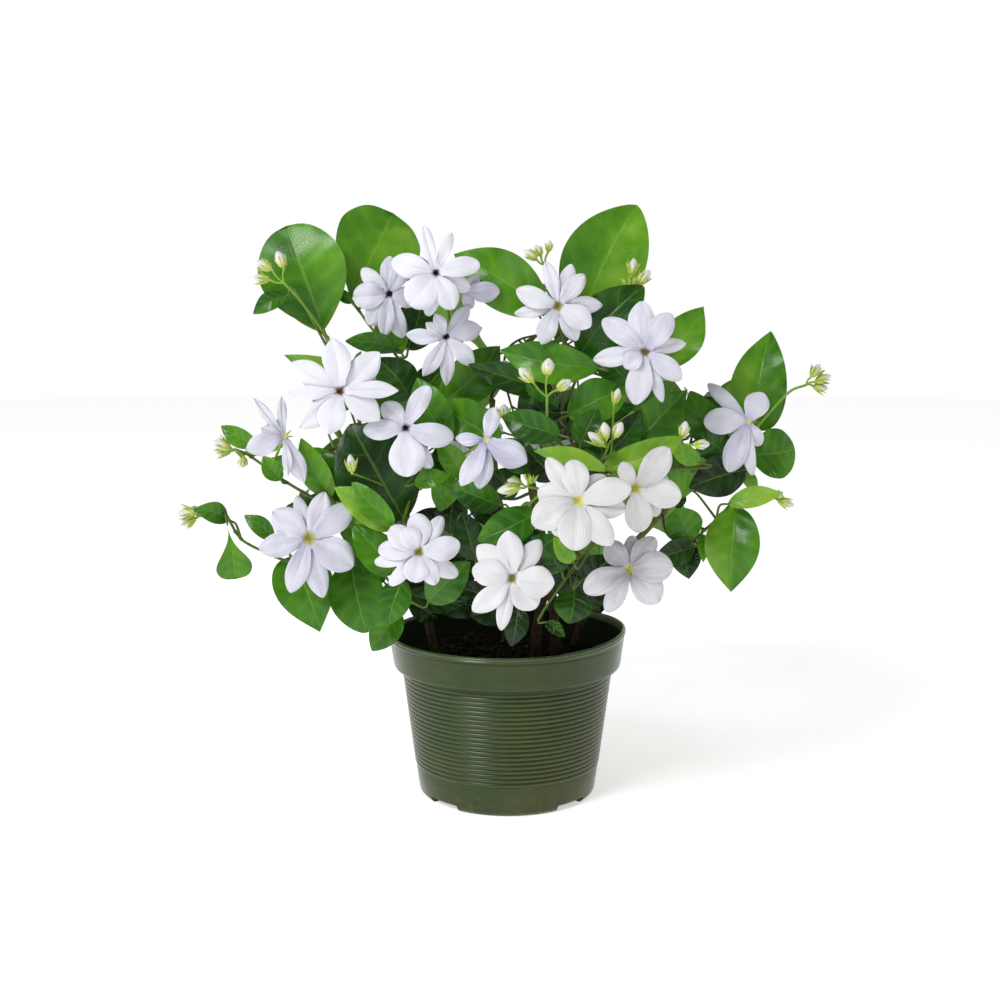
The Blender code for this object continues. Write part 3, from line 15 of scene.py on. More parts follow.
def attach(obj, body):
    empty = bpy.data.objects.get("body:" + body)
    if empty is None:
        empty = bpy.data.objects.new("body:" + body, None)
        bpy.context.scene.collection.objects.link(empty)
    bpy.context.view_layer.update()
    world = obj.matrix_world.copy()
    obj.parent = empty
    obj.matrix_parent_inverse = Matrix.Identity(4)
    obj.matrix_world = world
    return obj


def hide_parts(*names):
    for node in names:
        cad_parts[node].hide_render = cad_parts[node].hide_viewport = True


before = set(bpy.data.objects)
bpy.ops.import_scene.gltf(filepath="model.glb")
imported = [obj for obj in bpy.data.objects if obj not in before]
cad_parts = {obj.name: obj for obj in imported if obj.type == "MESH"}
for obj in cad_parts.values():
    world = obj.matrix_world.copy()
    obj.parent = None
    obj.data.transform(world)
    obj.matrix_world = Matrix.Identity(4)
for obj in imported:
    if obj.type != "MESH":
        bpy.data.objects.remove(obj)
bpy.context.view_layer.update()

# ---------------------------------------------------------------- sizes
RIM_R = 0.0760          # outer radius of the pot's rolled lip
RIM_LIP = 0.0030        # height of the lip bead
BAND_TOP_R = 0.0753     # rim band, under the lip
BAND_LOW_R = 0.0724     # rim band, at its lower edge
BAND_H = 0.0215         # height of lip and band together
WALL_TOP_R = 0.0673     # pot wall just under the band
FOOT_R = 0.0568         # outer radius of the foot
POT_H = 0.1040          # pot height
WALL_T = 0.0016         # pot wall thickness
FLOOR_T = 0.0022        # pot floor thickness
SOIL_TOP = 0.0860       # level of the potting mix
GAP = 0.0004            # clearance left between pieces that meet
LEAF_T = 0.0010         # thickness of a leaf at its midrib
PETAL_T = 0.0014        # thickness of a flower's plate of petals
RIM_RISE = 0.0033       # how much higher the soft rim stands on the right side

# viewpoint from which the crown was laid out: a leaf or flower is placed by the
# direction in which it is seen (in thousandths of the view's width) and a depth
EYE = Vector((-0.0046, -0.834, 0.298))
PITCH = math.radians(7.50)
FOCAL = 1325.0
AHEAD = Vector((0.0, math.cos(PITCH), -math.sin(PITCH)))
OVER = Vector((0.0, math.sin(PITCH), math.cos(PITCH)))
ACROSS = Vector((1.0, 0.0, 0.0))


def at(px, py, y):
    """Point seen at (px, py) whose depth is y millimetres behind the pot's axis."""
    d = AHEAD * FOCAL + ACROSS * (px - 500.0) - OVER * (py - 500.0)
    return EYE + d * ((y * 0.001 - EYE.y) / d.y)


def seen(p):
    """Direction (px, py) in which a point is seen."""
    v = p - EYE
    k = FOCAL / v.dot(AHEAD)
    return 500.0 + k * v.dot(ACROSS), 500.0 - k * v.dot(OVER)


def span(n, p):
    """Length in metres of n units of view at point p."""
    return n * (p - EYE).dot(AHEAD) / FOCAL


def mm(x, y, z):
    return Vector((x * 0.001, y * 0.001, z * 0.001))


def rim_rise(w):
    """Height that the rim gains at angle w about the pot's axis."""
    return RIM_RISE * max(0.0, math.cos(w)) ** 2


# ---------------------------------------------------------------- woody canes
# name: points in millimetres from the soil up, radius at foot, radius at end
CANES = {
    "cane_front": ([(17, -8, 58), (18, -13, 98), (22, -20, 127), (33, -38, 148), (40, -52, 166), (44, -62, 196), (40, -66, 222)], 0.0032, 0.0019),
    "cane_centre": ([(30, 6, 58), (31, 2, 100), (26, -4, 145), (16, -10, 195), (9, -14, 245), (12, -14, 285)], 0.0036, 0.0018),
    "cane_left": ([(-40, 2, 58), (-48, -4, 98), (-55, -12, 135), (-66, -24, 170), (-86, -34, 205), (-104, -40, 238)], 0.0031, 0.0017),
    "cane_back": ([(-2, 27, 58), (0, 32, 100), (-2, 44, 150), (-8, 58, 200), (-10, 64, 248)], 0.0034, 0.0018),
    "cane_right": ([(40, 20, 58), (47, 20, 98), (66, 12, 138), (98, -4, 180), (128, -16, 213)], 0.0030, 0.0016),
}

# ---------------------------------------------------------------- green shoots
# name: parent, stem as (px, py, depth mm), leaves as
# (base px, base py, base depth, tip px, tip py, tip depth, width, roll, arch mm, fold, tone)
# A shoot bends and branches freely, and its leaves join it by short stalks.
# a leaf's tone is partly its own green and partly painted light and shade: darker on leaves deep in the crown, lighter
# on some upper ones
SHOOTS = {
    "shoot_upper_left": ("cane_left", [(342, 402, -50), (336, 370, -60), (329, 342, -66)], [
        (324, 330, -68, 286, 226, -66, 88, 0, 7, 0.10, 0.45),
        (320, 331, -74, 262, 263, -84, 17, 0, 4, 0.35, 0.95),
        (288, 295, -72, 253, 314, -74, 19, 10, 3, 0.20, 0.25),
        (352, 369, -84, 284, 355, -86, 20, 0, 2, 0.20, 0.60),
    ]),
    "shoot_top_left": ("cane_centre", [(474, 450, -24), (434, 412, -36), (411, 382, -48), (394, 352, -54), (376, 334, -55), (357, 308, -50), (347, 296, -46)], [
        (350, 298, -46, 393, 213, -20, 86, 0, 6, 0.12, 0.64),
        (400, 348, -68, 345, 341, -78, 22, 0, 3, 0.25, 0.35),
        (352, 303, -52, 339, 289, -50, 12, 0, 1, 0.20, 0.30),
        (402, 354, -60, 380, 312, -56, 34, 0, 4, 0.20, 0.70),
        (408, 350, -44, 424, 296, -36, 44, 0, 4, 0.15, 0.30),
        (410, 398, -62, 376, 358, -72, 42, 0, 4, 0.25, 0.25),
    ]),
    "shoot_top_mid": ("cane_centre", [(480, 420, -22), (471, 400, -30), (460, 362, -42), (451, 326, -46), (447, 302, -48)], [
        (418, 398, -52, 446, 366, -52, 34, 0, 4, 0.15, 0.35),
        (440, 404, -52, 500, 346, -46, 48, 0, 6, 0.20, 0.45),
    ]),
    "shoot_top": ("cane_centre", [(532, 392, -22), (556, 372, -36), (563, 350, -46), (562, 334, -50), (552, 312, -52)], [
        (547, 312, -54, 454, 254, -46, 58, 0, 8, 0.15, 0.60),
        (598, 368, -84, 500, 350, -78, 42, 0, 6, 0.20, 0.42),
        (552, 390, -66, 468, 364, -72, 30, 0, 5, 0.20, 0.15),
    ]),
    "shoot_top_right": ("cane_front", [(562, 412, -50), (573, 388, -52), (580, 362, -54), (590, 336, -50), (600, 314, -46)], [
        (580, 323, -48, 637, 205, -44, 84, 0, 8, 0.12, 0.62),
        (579, 357, -62, 644, 286, -62, 54, 0, 6, 0.15, 0.30),
        (655, 368, -66, 704, 306, -58, 42, 0, 5, 0.20, 0.60),
        (630, 382, -76, 590, 352, -74, 30, 0, 4, 0.20, 0.35),
        (568, 416, -84, 629, 391, -84, 45, 0, 6, 0.15, 0.40),
        (566, 428, -66, 636, 406, -70, 28, 0, 4, 0.20, 0.30),
    ]),
    "shoot_right": ("cane_right", [(735, 455, -34), (748, 441, -36), (757, 428, -36)], [
        (758, 431, -38, 771, 331, -30, 56, 0, 8, 0.15, 0.55),
        (750, 456, -34, 795, 450, -30, 51, 0, 5, 0.10, 0.55),
        (746, 470, -52, 689, 488, -58, 42, 0, 5, 0.10, 0.05),
        (722, 446, -38, 690, 391, -40, 38, 0, 5, 0.20, 0.45),
        (746, 470, -30, 757, 490, -28, 14, 0, 1, 0.10, 0.70),
        (728, 424, -34, 692, 398, -34, 28, 0, 4, 0.20, 0.40),
        (730, 456, -46, 694, 432, -44, 34, 0, 4, 0.20, 0.25),
    ]),
    "shoot_mid_right": ("cane_front", [(590, 470, -76), (604, 472, -92), (611, 456, -96)], [
        (607, 470, -108, 533, 451, -112, 20, 0, 3, 0.20, 0.92),
        (604, 467, -100, 684, 436, -98, 33, 0, 5, 0.20, 0.90),
        (632, 446, -76, 688, 389, -70, 44, 0, 5, 0.15, 0.40),
        (700, 463, -72, 668, 440, -78, 20, 0, 3, 0.20, 0.65),
        (612, 450, -72, 642, 410, -74, 30, 0, 4, 0.20, 0.15),
        (604, 472, -62, 606, 426, -64, 30, 0, 3, 0.20, 0.05),
        (600, 472, -98, 566, 455, -102, 28, 0, 3, 0.20, 0.20),
        (560, 478, -84, 528, 450, -88, 32, 0, 3, 0.20, 0.05),
    ]),
    "shoot_lower_right": ("cane_right", [(668, 535, -30), (688, 543, -50), (708, 527, -54), (728, 509, -54)], [
        (692, 541, -56, 676, 509, -60, 38, 0, 3, 0.15, 0.60),
        (684, 543, -58, 689, 579, -66, 32, 0, 3, 0.25, 0.05),
        (694, 547, -60, 655, 558, -70, 28, 0, 2, 0.30, 0.10),
        (702, 534, -58, 703, 562, -56, 14, 0, 2, 0.25, 0.65),
        (736, 507, -56, 731, 592, -64, 55, 0, 7, 0.18, 0.60),
        (728, 504, -62, 783, 493, -66, 22, 0, 3, 0.25, 0.90),
        (677, 509, -54, 684, 493, -50, 12, 0, 2, 0.20, 0.20),
        (692, 491, -50, 663, 471, -56, 32, 0, 3, 0.15, 0.65),
    ]),
    "shoot_left_centre": ("cane_left", [(404, 524, -52), (410, 500, -72), (418, 470, -84), (426, 445, -86)], [
        (404, 520, -82, 350, 424, -80, 84, 0, 7, 0.12, 0.12),
        (390, 530, -98, 334, 487, -100, 32, 0, 4, 0.15, 0.75),
        (394, 524, -106, 352, 482, -104, 26, 0, 3, 0.25, 0.50),
        (414, 484, -94, 450, 476, -96, 20, 0, 3, 0.20, 0.45),
        (392, 574, -84, 352, 526, -88, 38, 0, 4, 0.15, 0.55),
        (448, 442, -84, 417, 377, -80, 42, 0, 4, 0.15, 0.45),
    ]),
    "shoot_far_left": ("cane_left", [(366, 522, -52), (345, 511, -64), (325, 504, -72), (308, 495, -76), (283, 480, -76), (268, 469, -74), (250, 456, -72), (240, 451, -72)], [
        (281, 480, -80, 263, 456, -82, 20, 0, 2, 0.30, 0.50),
        (258, 446, -78, 221, 426, -80, 20, 0, 2, 0.15, 0.55),
        (274, 540, -72, 244, 515, -70, 19, 0, 2, 0.20, 0.40),
        (350, 500, -74, 304, 453, -76, 40, 0, 4, 0.20, 0.35),
        (331, 497, -84, 301, 438, -88, 30, 0, 2, 0.20, 0.60),
    ]),
    "shoot_low_left": ("cane_left", [(388, 574, -44), (345, 562, -70), (318, 563, -76), (287, 561, -80), (256, 548, -82), (240, 538, -82), (231, 524, -82)], [
        (228, 521, -86, 194, 509, -90, 22, 0, 4, 0.20, 0.40),
        (227, 522, -84, 236, 579, -80, 36, 0, 4, 0.15, 0.50),
        (290, 556, -72, 320, 632, -80, 60, 0, 5, 0.15, 0.50),
        (350, 556, -70, 366, 633, -82, 56, 0, 5, 0.18, 0.45),
    ]),
    "shoot_bottom_left": ("cane_left", [(408, 606, -36), (398, 596, -58), (392, 588, -74)], [
        (402, 580, -84, 388, 626, -88, 34, 0, 3, 0.15, 0.30),
        (400, 612, -60, 372, 651, -64, 32, 0, 3, 0.20, 0.50),
        (378, 566, -92, 334, 512, -96, 30, 0, 3, 0.20, 0.60),
        (384, 582, -80, 350, 545, -84, 32, 0, 3, 0.15, 0.40),
        (428, 602, -84, 470, 562, -96, 38, 0, 4, 0.15, 0.35),
        (404, 592, -76, 466, 603, -72, 26, 0, 3, 0.20, 0.10),
        (408, 600, -40, 438, 618, -32, 26, 0, 3, 0.20, 0.04),
        (428, 600, -36, 488, 610, -24, 32, 0, 3, 0.20, 0.03),
        (398, 592, -58, 426, 576, -62, 26, 0, 3, 0.20, 0.08),
    ]),
    "shoot_bottom_centre": ("cane_front", [(530, 584, -48), (516, 566, -76), (506, 548, -92), (500, 530, -96)], [
        (540, 512, -102, 477, 541, -106, 38, 0, 5, 0.15, 0.40),
        (536, 552, -92, 556, 536, -100, 30, 0, 3, 0.15, 0.25),
        (517, 602, -88, 511, 647, -92, 26, 0, 4, 0.25, 0.05),
        (500, 505, -88, 450, 486, -92, 32, 0, 4, 0.20, 0.25),
        (476, 560, -82, 462, 512, -88, 34, 0, 4, 0.15, 0.15),
        (506, 520, -76, 466, 501, -72, 26, 0, 3, 0.20, 0.10),
        (502, 606, -66, 450, 586, -70, 26, 0, 3, 0.20, 0.05),
        (474, 550, -58, 450, 590, -54, 36, 0, 3, 0.20, 0.05),
        (530, 572, -58, 534, 528, -62, 34, 0, 3, 0.20, 0.06),
        (512, 600, -44, 470, 616, -36, 32, 0, 3, 0.20, 0.03),
    ]),
    "shoot_bottom_right": ("cane_front", [(584, 556, -66), (592, 544, -76), (604, 534, -80)], [
        (580, 582, -84, 612, 556, -90, 38, 0, 3, 0.15, 0.05),
        (574, 590, -92, 569, 624, -98, 40, 0, 4, 0.12, 0.22),
        (574, 562, -112, 554, 537, -120, 18, 0, 3, 0.20, 0.75),
        (546, 622, -70, 565, 637, -76, 14, 0, 1, 0.20, 0.20),
        (562, 572, -84, 546, 548, -92, 26, 0, 3, 0.20, 0.15),
        (578, 604, -62, 612, 568, -66, 34, 0, 4, 0.20, 0.04),
        (566, 558, -44, 576, 602, -36, 38, 0, 3, 0.20, 0.03),
        (588, 580, -30, 601, 614, -26, 28, 0, 3, 0.20, 0.02),
    ]),
    "shoot_centre": ("cane_centre", [(530, 424, -44), (536, 428, -72), (546, 430, -92)], [
        (560, 435, -100, 502, 416, -96, 34, 0, 5, 0.20, 0.25),
        (500, 442, -92, 438, 404, -84, 46, 0, 5, 0.15, 0.50),
        (536, 470, -88, 500, 440, -86, 34, 0, 4, 0.15, 0.20),
        (580, 446, -96, 598, 408, -100, 30, 0, 4, 0.15, 0.20),
        (562, 413, -78, 514, 412, -74, 20, 0, 3, 0.20, 0.05),
        (550, 434, -60, 524, 384, -62, 42, 0, 4, 0.20, 0.16),
        (560, 440, -50, 572, 398, -52, 34, 0, 3, 0.20, 0.08),
    ]),
    "shoot_centre_left": ("cane_centre", [(502, 498, -34), (468, 462, -72), (456, 458, -82)], [
        (462, 478, -86, 436, 440, -90, 26, 0, 3, 0.20, 0.55),
        (446, 470, -82, 440, 512, -80, 28, 0, 3, 0.20, 0.60),
        (492, 494, -80, 520, 468, -84, 34, 0, 4, 0.20, 0.12),
        (452, 480, -66, 440, 440, -68, 30, 0, 3, 0.20, 0.30),
        (456, 488, -62, 450, 534, -58, 34, 0, 3, 0.20, 0.10),
        (452, 522, -50, 410, 518, -54, 22, 0, 3, 0.20, 0.08),
    ]),
}

# shoots on the sides, the far side and over the top: the cane that each springs
# from, a seed, and its branches as (points in millimetres, pairs of leaves). The
# first branch springs from the cane, the others from the first.
FAR_SHOOTS = {
    "shoot_back": ("cane_back", 11, [
        ([(-4, 82, 262), (2, 98, 284), (20, 116, 291)], 3),
        ([(-22, 102, 274), (-42, 108, 286)], 3),
        ([(26, 108, 276), (48, 108, 288)], 3),
        ([(4, 104, 240), (8, 122, 232)], 2),
    ]),
    "shoot_back_left": ("cane_back", 12, [
        ([(-30, 66, 178), (-68, 76, 205), (-98, 66, 236)], 4),
        ([(-66, 96, 186), (-78, 114, 180)], 3),
        ([(-74, 98, 232), (-78, 112, 252)], 3),
        ([(-34, 92, 164), (-36, 108, 152)], 2),
    ]),
    "shoot_back_right": ("cane_back", 23, [
        ([(30, 66, 178), (66, 70, 208), (94, 58, 242)], 4),
        ([(64, 94, 188), (76, 112, 182)], 3),
        ([(70, 94, 236), (74, 110, 254)], 3),
        ([(34, 92, 162), (38, 108, 150)], 2),
    ]),
    "shoot_left_side": ("cane_left", 15, [
        ([(-84, -4, 186), (-106, 16, 208), (-120, 34, 236)], 4),
        ([(-112, 38, 196), (-120, 52, 186)], 2),
        ([(-128, -2, 216), (-142, -8, 226)], 2),
        ([(-96, 30, 236), (-94, 42, 262)], 3),
        ([(-72, 10, 204), (-50, 18, 218), (-36, 22, 228)], 3),
    ]),
    "shoot_right_side": ("cane_right", 16, [
        ([(110, 14, 196), (120, 32, 218), (124, 44, 244)], 4),
        ([(112, 48, 196), (118, 62, 184)], 2),
        ([(136, 14, 216), (148, 10, 224)], 2),
        ([(104, 40, 240), (98, 50, 266)], 3),
        ([(90, 20, 208), (74, 24, 218), (62, 24, 222)], 3),
    ]),
    "shoot_top_back": ("cane_centre", 14, [
        ([(21, 0, 294), (28, 12, 306), (26, 28, 320), (14, 42, 328)], 4),
        ([(-12, 26, 318), (-38, 32, 324)], 3),
        ([(46, 20, 314), (66, 24, 318)], 3),
        ([(22, 54, 318), (20, 72, 322)], 2),
        ([(38, 14, 286), (46, 26, 262), (44, 34, 240)], 3),
        ([(4, 8, 276), (-14, 18, 258), (-26, 26, 238)], 3),
    ]),
}

# ---------------------------------------------------------------- flowers
# name: (centre px, py, depth mm, throat tone, shade), petals as
# (direction in degrees, length, width, how far the tip lies behind the throat in mm)
FLOWERS = {
    "flower_01": ((436, 273, -90, 0.10, 0.10), [(104, 48, 14, 3), (68, 43, 12, 4), (11, 45, 20, 1), (-25, 38, 18, 5), (-65, 40, 24, 1), (-101, 44, 17, 4), (-128, 42, 34, -1), (166, 46, 25, 2)]),
    "flower_02": ((389, 294, -68, 0.05, 0.35), [(137, 37, 17, 2), (184, 36, 27, 1), (-124, 37, 23, 3), (-97, 42, 17, 1), (-73, 46, 19, 3), (-10, 30, 22, 4), (60, 36, 20, 3), (88, 38, 17, 5)]),
    "flower_03": ((446, 337, -74, 0.15, 0.25), [(176, 41, 16, 2), (-121, 46, 16, 1), (-90, 49, 15, 3), (-46, 41, 18, 1), (14, 38, 21, 4), (53, 40, 15, 5), (115, 26, 13, -3), (145, 25, 12, -2)]),
    "flower_04": ((340, 391, -118, 0.30, 0.00), [(97, 54, 29, 0), (44, 56, 27, 2), (0, 59, 18, 0), (-37, 50, 27, 2), (-106, 45, 29, 0), (-138, 55, 25, 3), (181, 52, 15, 1), (149, 56, 25, 2)]),
    "flower_05": ((284, 436, -104, 0.85, 0.30), [(127, 48, 11, -2), (92, 40, 10, 2), (199, 40, 23, -4), (-86, 41, 10, -2), (-68, 52, 19, 3), (160, 24, 12, -3)]),
    "flower_06": ((406, 428, -106, 0.08, 0.30), [(61, 48, 20, 1), (-12, 49, 25, 0), (-58, 48, 17, 4), (-90, 49, 37, 0), (183, 43, 21, 2), (132, 34, 22, 3)]),
    "flower_07": ((486, 440, -118, 0.60, 0.75), [(76, 34, 17, 3), (176, 31, 14, 3), (-119, 53, 20, 1), (-98, 50, 22, 3), (-29, 47, 29, 0)]),
    "flower_08": ((558, 306, -94, 0.55, 0.25), [(106, 46, 15, 2), (72, 44, 17, 5), (50, 41, 19, 1), (1, 45, 18, 5), (-31, 39, 25, 0), (-61, 40, 19, 2), (-113, 42, 21, 1), (159, 45, 21, 0), (190, 45, 13, 5)]),
    "flower_09": ((645, 352, -102, 0.50, 0.30), [(95, 51, 27, 1), (143, 54, 24, 2), (189, 53, 20, 2), (-100, 54, 27, 1), (-70, 54, 13, 4), (-37, 46, 21, 2), (12, 42, 15, 6), (56, 46, 26, 0), (215, 26, 20, -2)]),
    "flower_10": ((748, 422, -60, 0.70, 0.35), [(137, 56, 15, 4), (64, 33, 25, 3), (180, 44, 27, 0), (-110, 54, 25, 1), (-84, 54, 13, 3), (-62, 27, 17, 4)]),
    "flower_11": ((309, 538, -98, 0.75, 0.30), [(70, 49, 23, 1), (36, 54, 27, 0), (-35, 53, 34, 1), (-78, 62, 23, 2), (-110, 58, 23, 0), (192, 51, 25, 2), (142, 45, 29, 1), (105, 45, 15, 6)]),
    "flower_12": ((419, 552, -112, 0.65, 0.15), [(10, 42, 25, 0), (56, 43, 17, 3), (92, 39, 25, 1), (140, 38, 24, 0), (176, 41, 21, 2), (193, 46, 15, 5), (-132, 45, 15, 5), (-99, 31, 26, 0), (-63, 37, 19, 2), (-32, 46, 19, 4), (122, 28, 22, -3)]),
    "flower_13": ((512, 578, -126, 0.70, 0.10), [(95, 48, 27, 1), (137, 48, 25, 2), (168, 41, 28, 0), (220, 52, 23, 2), (-102, 54, 16, 4), (-52, 39, 30, 2), (-7, 43, 33, 0), (53, 48, 21, 3)]),
    "flower_14": ((578, 501, -144, 0.90, 0.30), [(126, 54, 20, 3), (98, 42, 28, 1), (15, 55, 28, 0), (-9, 49, 25, 3), (-52, 56, 27, 2), (-93, 50, 36, 0), (-123, 42, 30, 2), (-153, 52, 33, 1), (167, 42, 27, 3), (42, 38, 22, 5)]),
    "flower_15": ((636, 488, -118, 0.80, 0.45), [(120, 30, 17, 4), (52, 52, 28, 0), (-12, 46, 30, 1), (-85, 45, 28, 3), (18, 34, 22, 4), (-50, 36, 20, 5)]),
    "flower_16": ((629, 570, -116, 0.70, 0.70), [(128, 36, 24, 2), (85, 35, 16, 4), (52, 42, 22, 2), (6, 44, 32, 0), (-46, 44, 32, 2), (-117, 48, 20, 1), (206, 50, 26, 0)]),
    "flower_17": ((462, 291, -68, 0.40, 0.50), [(0, 38, 21, 0), (-60, 20, 12, 4), (40, 22, 12, 4)]),
}

# clusters on the sides and the far side: fork of the stalks in millimetres, and
# flowers as (place in millimetres, facing, number of petals, length mm)
FAR_FLOWERS = {
    "flowers_back": ((-2, 112, 222), [
        ((-30, 142, 222), (-0.25, 0.93, 0.25), 8, 25.0),
        ((30, 146, 216), (0.20, 0.97, 0.10), 9, 26.0)]),
    "flowers_left_side": ((-100, 60, 232), [
        ((-122, 62, 254), (-0.85, 0.35, 0.25), 8, 24.0),
        ((-88, 112, 222), (-0.50, 0.85, 0.15), 7, 25.0)]),
    "flowers_right_side": ((122, 62, 222), [
        ((152, 64, 238), (0.85, 0.38, 0.25), 9, 24.0),
        ((106, 106, 214), (0.45, 0.88, 0.15), 8, 25.0)]),
}

# ---------------------------------------------------------------- flower buds
# name: foot of the stalk (px, py, depth), fork (px, py, depth), buds as
# (base px, base py, tip px, tip py, width, depth, opening 0 shut .. 1 calyx only)
BUDS = {
    "buds_upper_left": ((300, 300, -90), (284, 283, -96), [(284, 268, 277, 251, 11, -98, 0.2), (272, 270, 256, 261, 10, -97, 0.4), (270, 280, 253, 277, 8, -96, 0.5)]),
    "buds_top": ((552, 296, -70), (545, 265, -76), [(537, 260, 524, 250, 8, -78, 0.3), (541, 256, 535, 245, 8, -76, 0.3), (548, 252, 550, 240, 7, -74, 0.3)]),
    "buds_top_right": ((606, 302, -66), (622, 290, -72), [(632, 276, 634, 258, 9, -74, 0.5), (629, 288, 628, 275, 9, -78, 0.9), (638, 285, 650, 270, 11, -74, 0.5)]),
    "buds_centre": ((547, 438, -106), (547, 397, -108), [(533, 382, 519, 368, 12, -112, 0.3), (547, 376, 549, 358, 13, -112, 0.1), (557, 390, 571, 380, 11, -110, 0.2)]),
    "buds_mid_right": ((604, 458, -102), (608, 446, -108), [(606, 440, 604, 422, 11, -112, 0.0), (614, 438, 622, 422, 11, -110, 0.1), (604, 446, 588, 432, 10, -114, 0.6)]),
    "buds_right": ((664, 452, -96), (680, 446, -100), [(682, 438, 686, 421, 10, -102, 0.1), (694, 445, 710, 444, 10, -102, 0.1)]),
    "buds_far_right": ((788, 393, -34), (806, 385, -36), [(811, 377, 820, 364, 8, -37, 0.6), (815, 382, 831, 375, 8, -36, 0.6), (813, 386, 828, 389, 8, -35, 0.6)]),
    "buds_low_right": ((762, 500, -62), (772, 499, -66), [(776, 497, 783, 492, 7, -68, 0.6), (778, 500, 794, 506, 9, -68, 0.3)]),
    "buds_far_left": ((246, 454, -72), (234, 449, -74), [(231, 449, 213, 441, 12, -75, 0.4), (231, 451, 214, 451, 10, -73, 0.6), (244, 457, 242, 468, 9, -77, 0.4)]),
    "buds_low_left": ((206, 516, -92), (198, 516, -94), [(196, 513, 178, 513, 10, -95, 0.6), (196, 518, 181, 525, 8, -94, 0.7), (198, 512, 190, 507, 7, -93, 0.5)]),
    "buds_low_centre": ((540, 494, -106), (528, 486, -112), [(520, 488, 497, 491, 11, -114, 0.1), (522, 484, 507, 480, 9, -112, 0.4), (531, 483, 531, 474, 9, -116, 1.0)]),
}


# ---------------------------------------------------------------- plain geometry
def smooth(points, n):
    """n points on a smooth curve through the given ones."""
    pts = [2 * points[0] - points[1]] + list(points) + [2 * points[-1] - points[-2]]
    spans = len(points) - 1
    out = []
    for i in range(n):
        u = i * spans / (n - 1)
        k = min(int(u), spans - 1)
        t = u - k
        a, b, c, d = pts[k:k + 4]
        out.append(0.5 * (2 * b + (c - a) * t + (2 * a - 5 * b + 4 * c - d) * t * t + (3 * b - a - 3 * c + d) * t ** 3))
    return out


def frames(path):
    """A pair of cross directions at each point of a path, turning as little as possible."""
    out = []
    ref = Vector((0.0, 0.0, 1.0))
    for i, p in enumerate(path):
        d = (path[min(i + 1, len(path) - 1)] - path[max(i - 1, 0)]).normalized()
        if i == 0 and abs(d.dot(ref)) > 0.9:
            ref = Vector((1.0, 0.0, 0.0))
        a = (ref - d * ref.dot(d)).normalized()
        out.append((a, d.cross(a)))
        ref = a
    return out


def tube(path, radii, sides):
    """Closed round tube along a path."""
    verts, faces = [], []
    for p, (a, b), r in zip(path, frames(path), radii):
        for k in range(sides):
            w = 2 * math.pi * k / sides
            verts.append(p + a * (r * math.cos(w)) + b * (r * math.sin(w)))
    n = len(path)
    for i in range(n - 1):
        for k in range(sides):
            k2 = (k + 1) % sides
            faces.append((i * sides + k, i * sides + k2, (i + 1) * sides + k2, (i + 1) * sides + k))
    faces.append(tuple(reversed(range(sides))))
    faces.append(tuple(range((n - 1) * sides, n * sides)))
    return verts, faces


def nearest(path, p):
    """Index of the path's point that is nearest to p."""
    return min(range(len(path)), key=lambda i: (path[i] - p).length_squared)


def leave(parent_path, parent_radii, first, extra=0.0006):
    """Point on a parent stem's surface from which a branch to 'first' springs, and its direction."""
    i = nearest(parent_path, first)
    p = parent_path[i]
    d = first - p
    last = len(parent_path) - 1
    run = (parent_path[min(i + 1, last)] - parent_path[max(i - 1, 0)]).normalized()
    if i == last and d.dot(run) > 0.5 * d.length:
        return p + run * extra, run
    e = d - run * d.dot(run)
    if e.length < 1e-6:
        e = Vector((1.0, 0.0, 0.0)) - run * run.x
    e.normalize()
    return p + e * (parent_radii[i] + extra), e


class Blade:
    """One leaf or petal: its middle line, width and hollow, all in metres."""

    def __init__(self, base, tip, width, normal, arch, fold, widest, blunt, neck=0.0):
        self.base, self.tip = base, tip
        self.axis = (tip - base).normalized()
        self.length = (tip - base).length
        n = normal - self.axis * normal.dot(self.axis)
        self.normal = n.normalized()
        self.side = self.axis.cross(self.normal)
        self.width, self.arch, self.fold = width, arch, fold
        self.widest, self.blunt, self.neck = widest, blunt, neck
        self.straight = False

    def half(self, t):
        """Half width at t, from 0 at the base to 1 at the tip."""
        if t <= 0.0 or t >= 1.0:
            return self.neck * self.width * 0.5 if t <= 0.0 else 0.0
        s = t ** (math.log(0.5) / math.log(self.widest))
        w = math.sin(math.pi * s) ** self.blunt
        return 0.5 * self.width * max(w, self.neck * (1.0 - t))

    def point(self, t, s):
        """Point at t along and s across, from -1 to 1."""
        h = self.half(t)
        mid = self.base.lerp(self.tip, t) + self.normal * (self.arch * math.sin(math.pi * t))
        return mid + self.side * (h * s) + self.normal * (self.fold * h * abs(s) ** 1.5)


def stalk_bend(blade, root):
    """Where a leaf's stalk, sprung from root, turns into the line of the leaf."""
    if blade.straight:
        return blade.base
    return blade.base - blade.axis * min(0.0050, 0.4 * (blade.base - root).length)


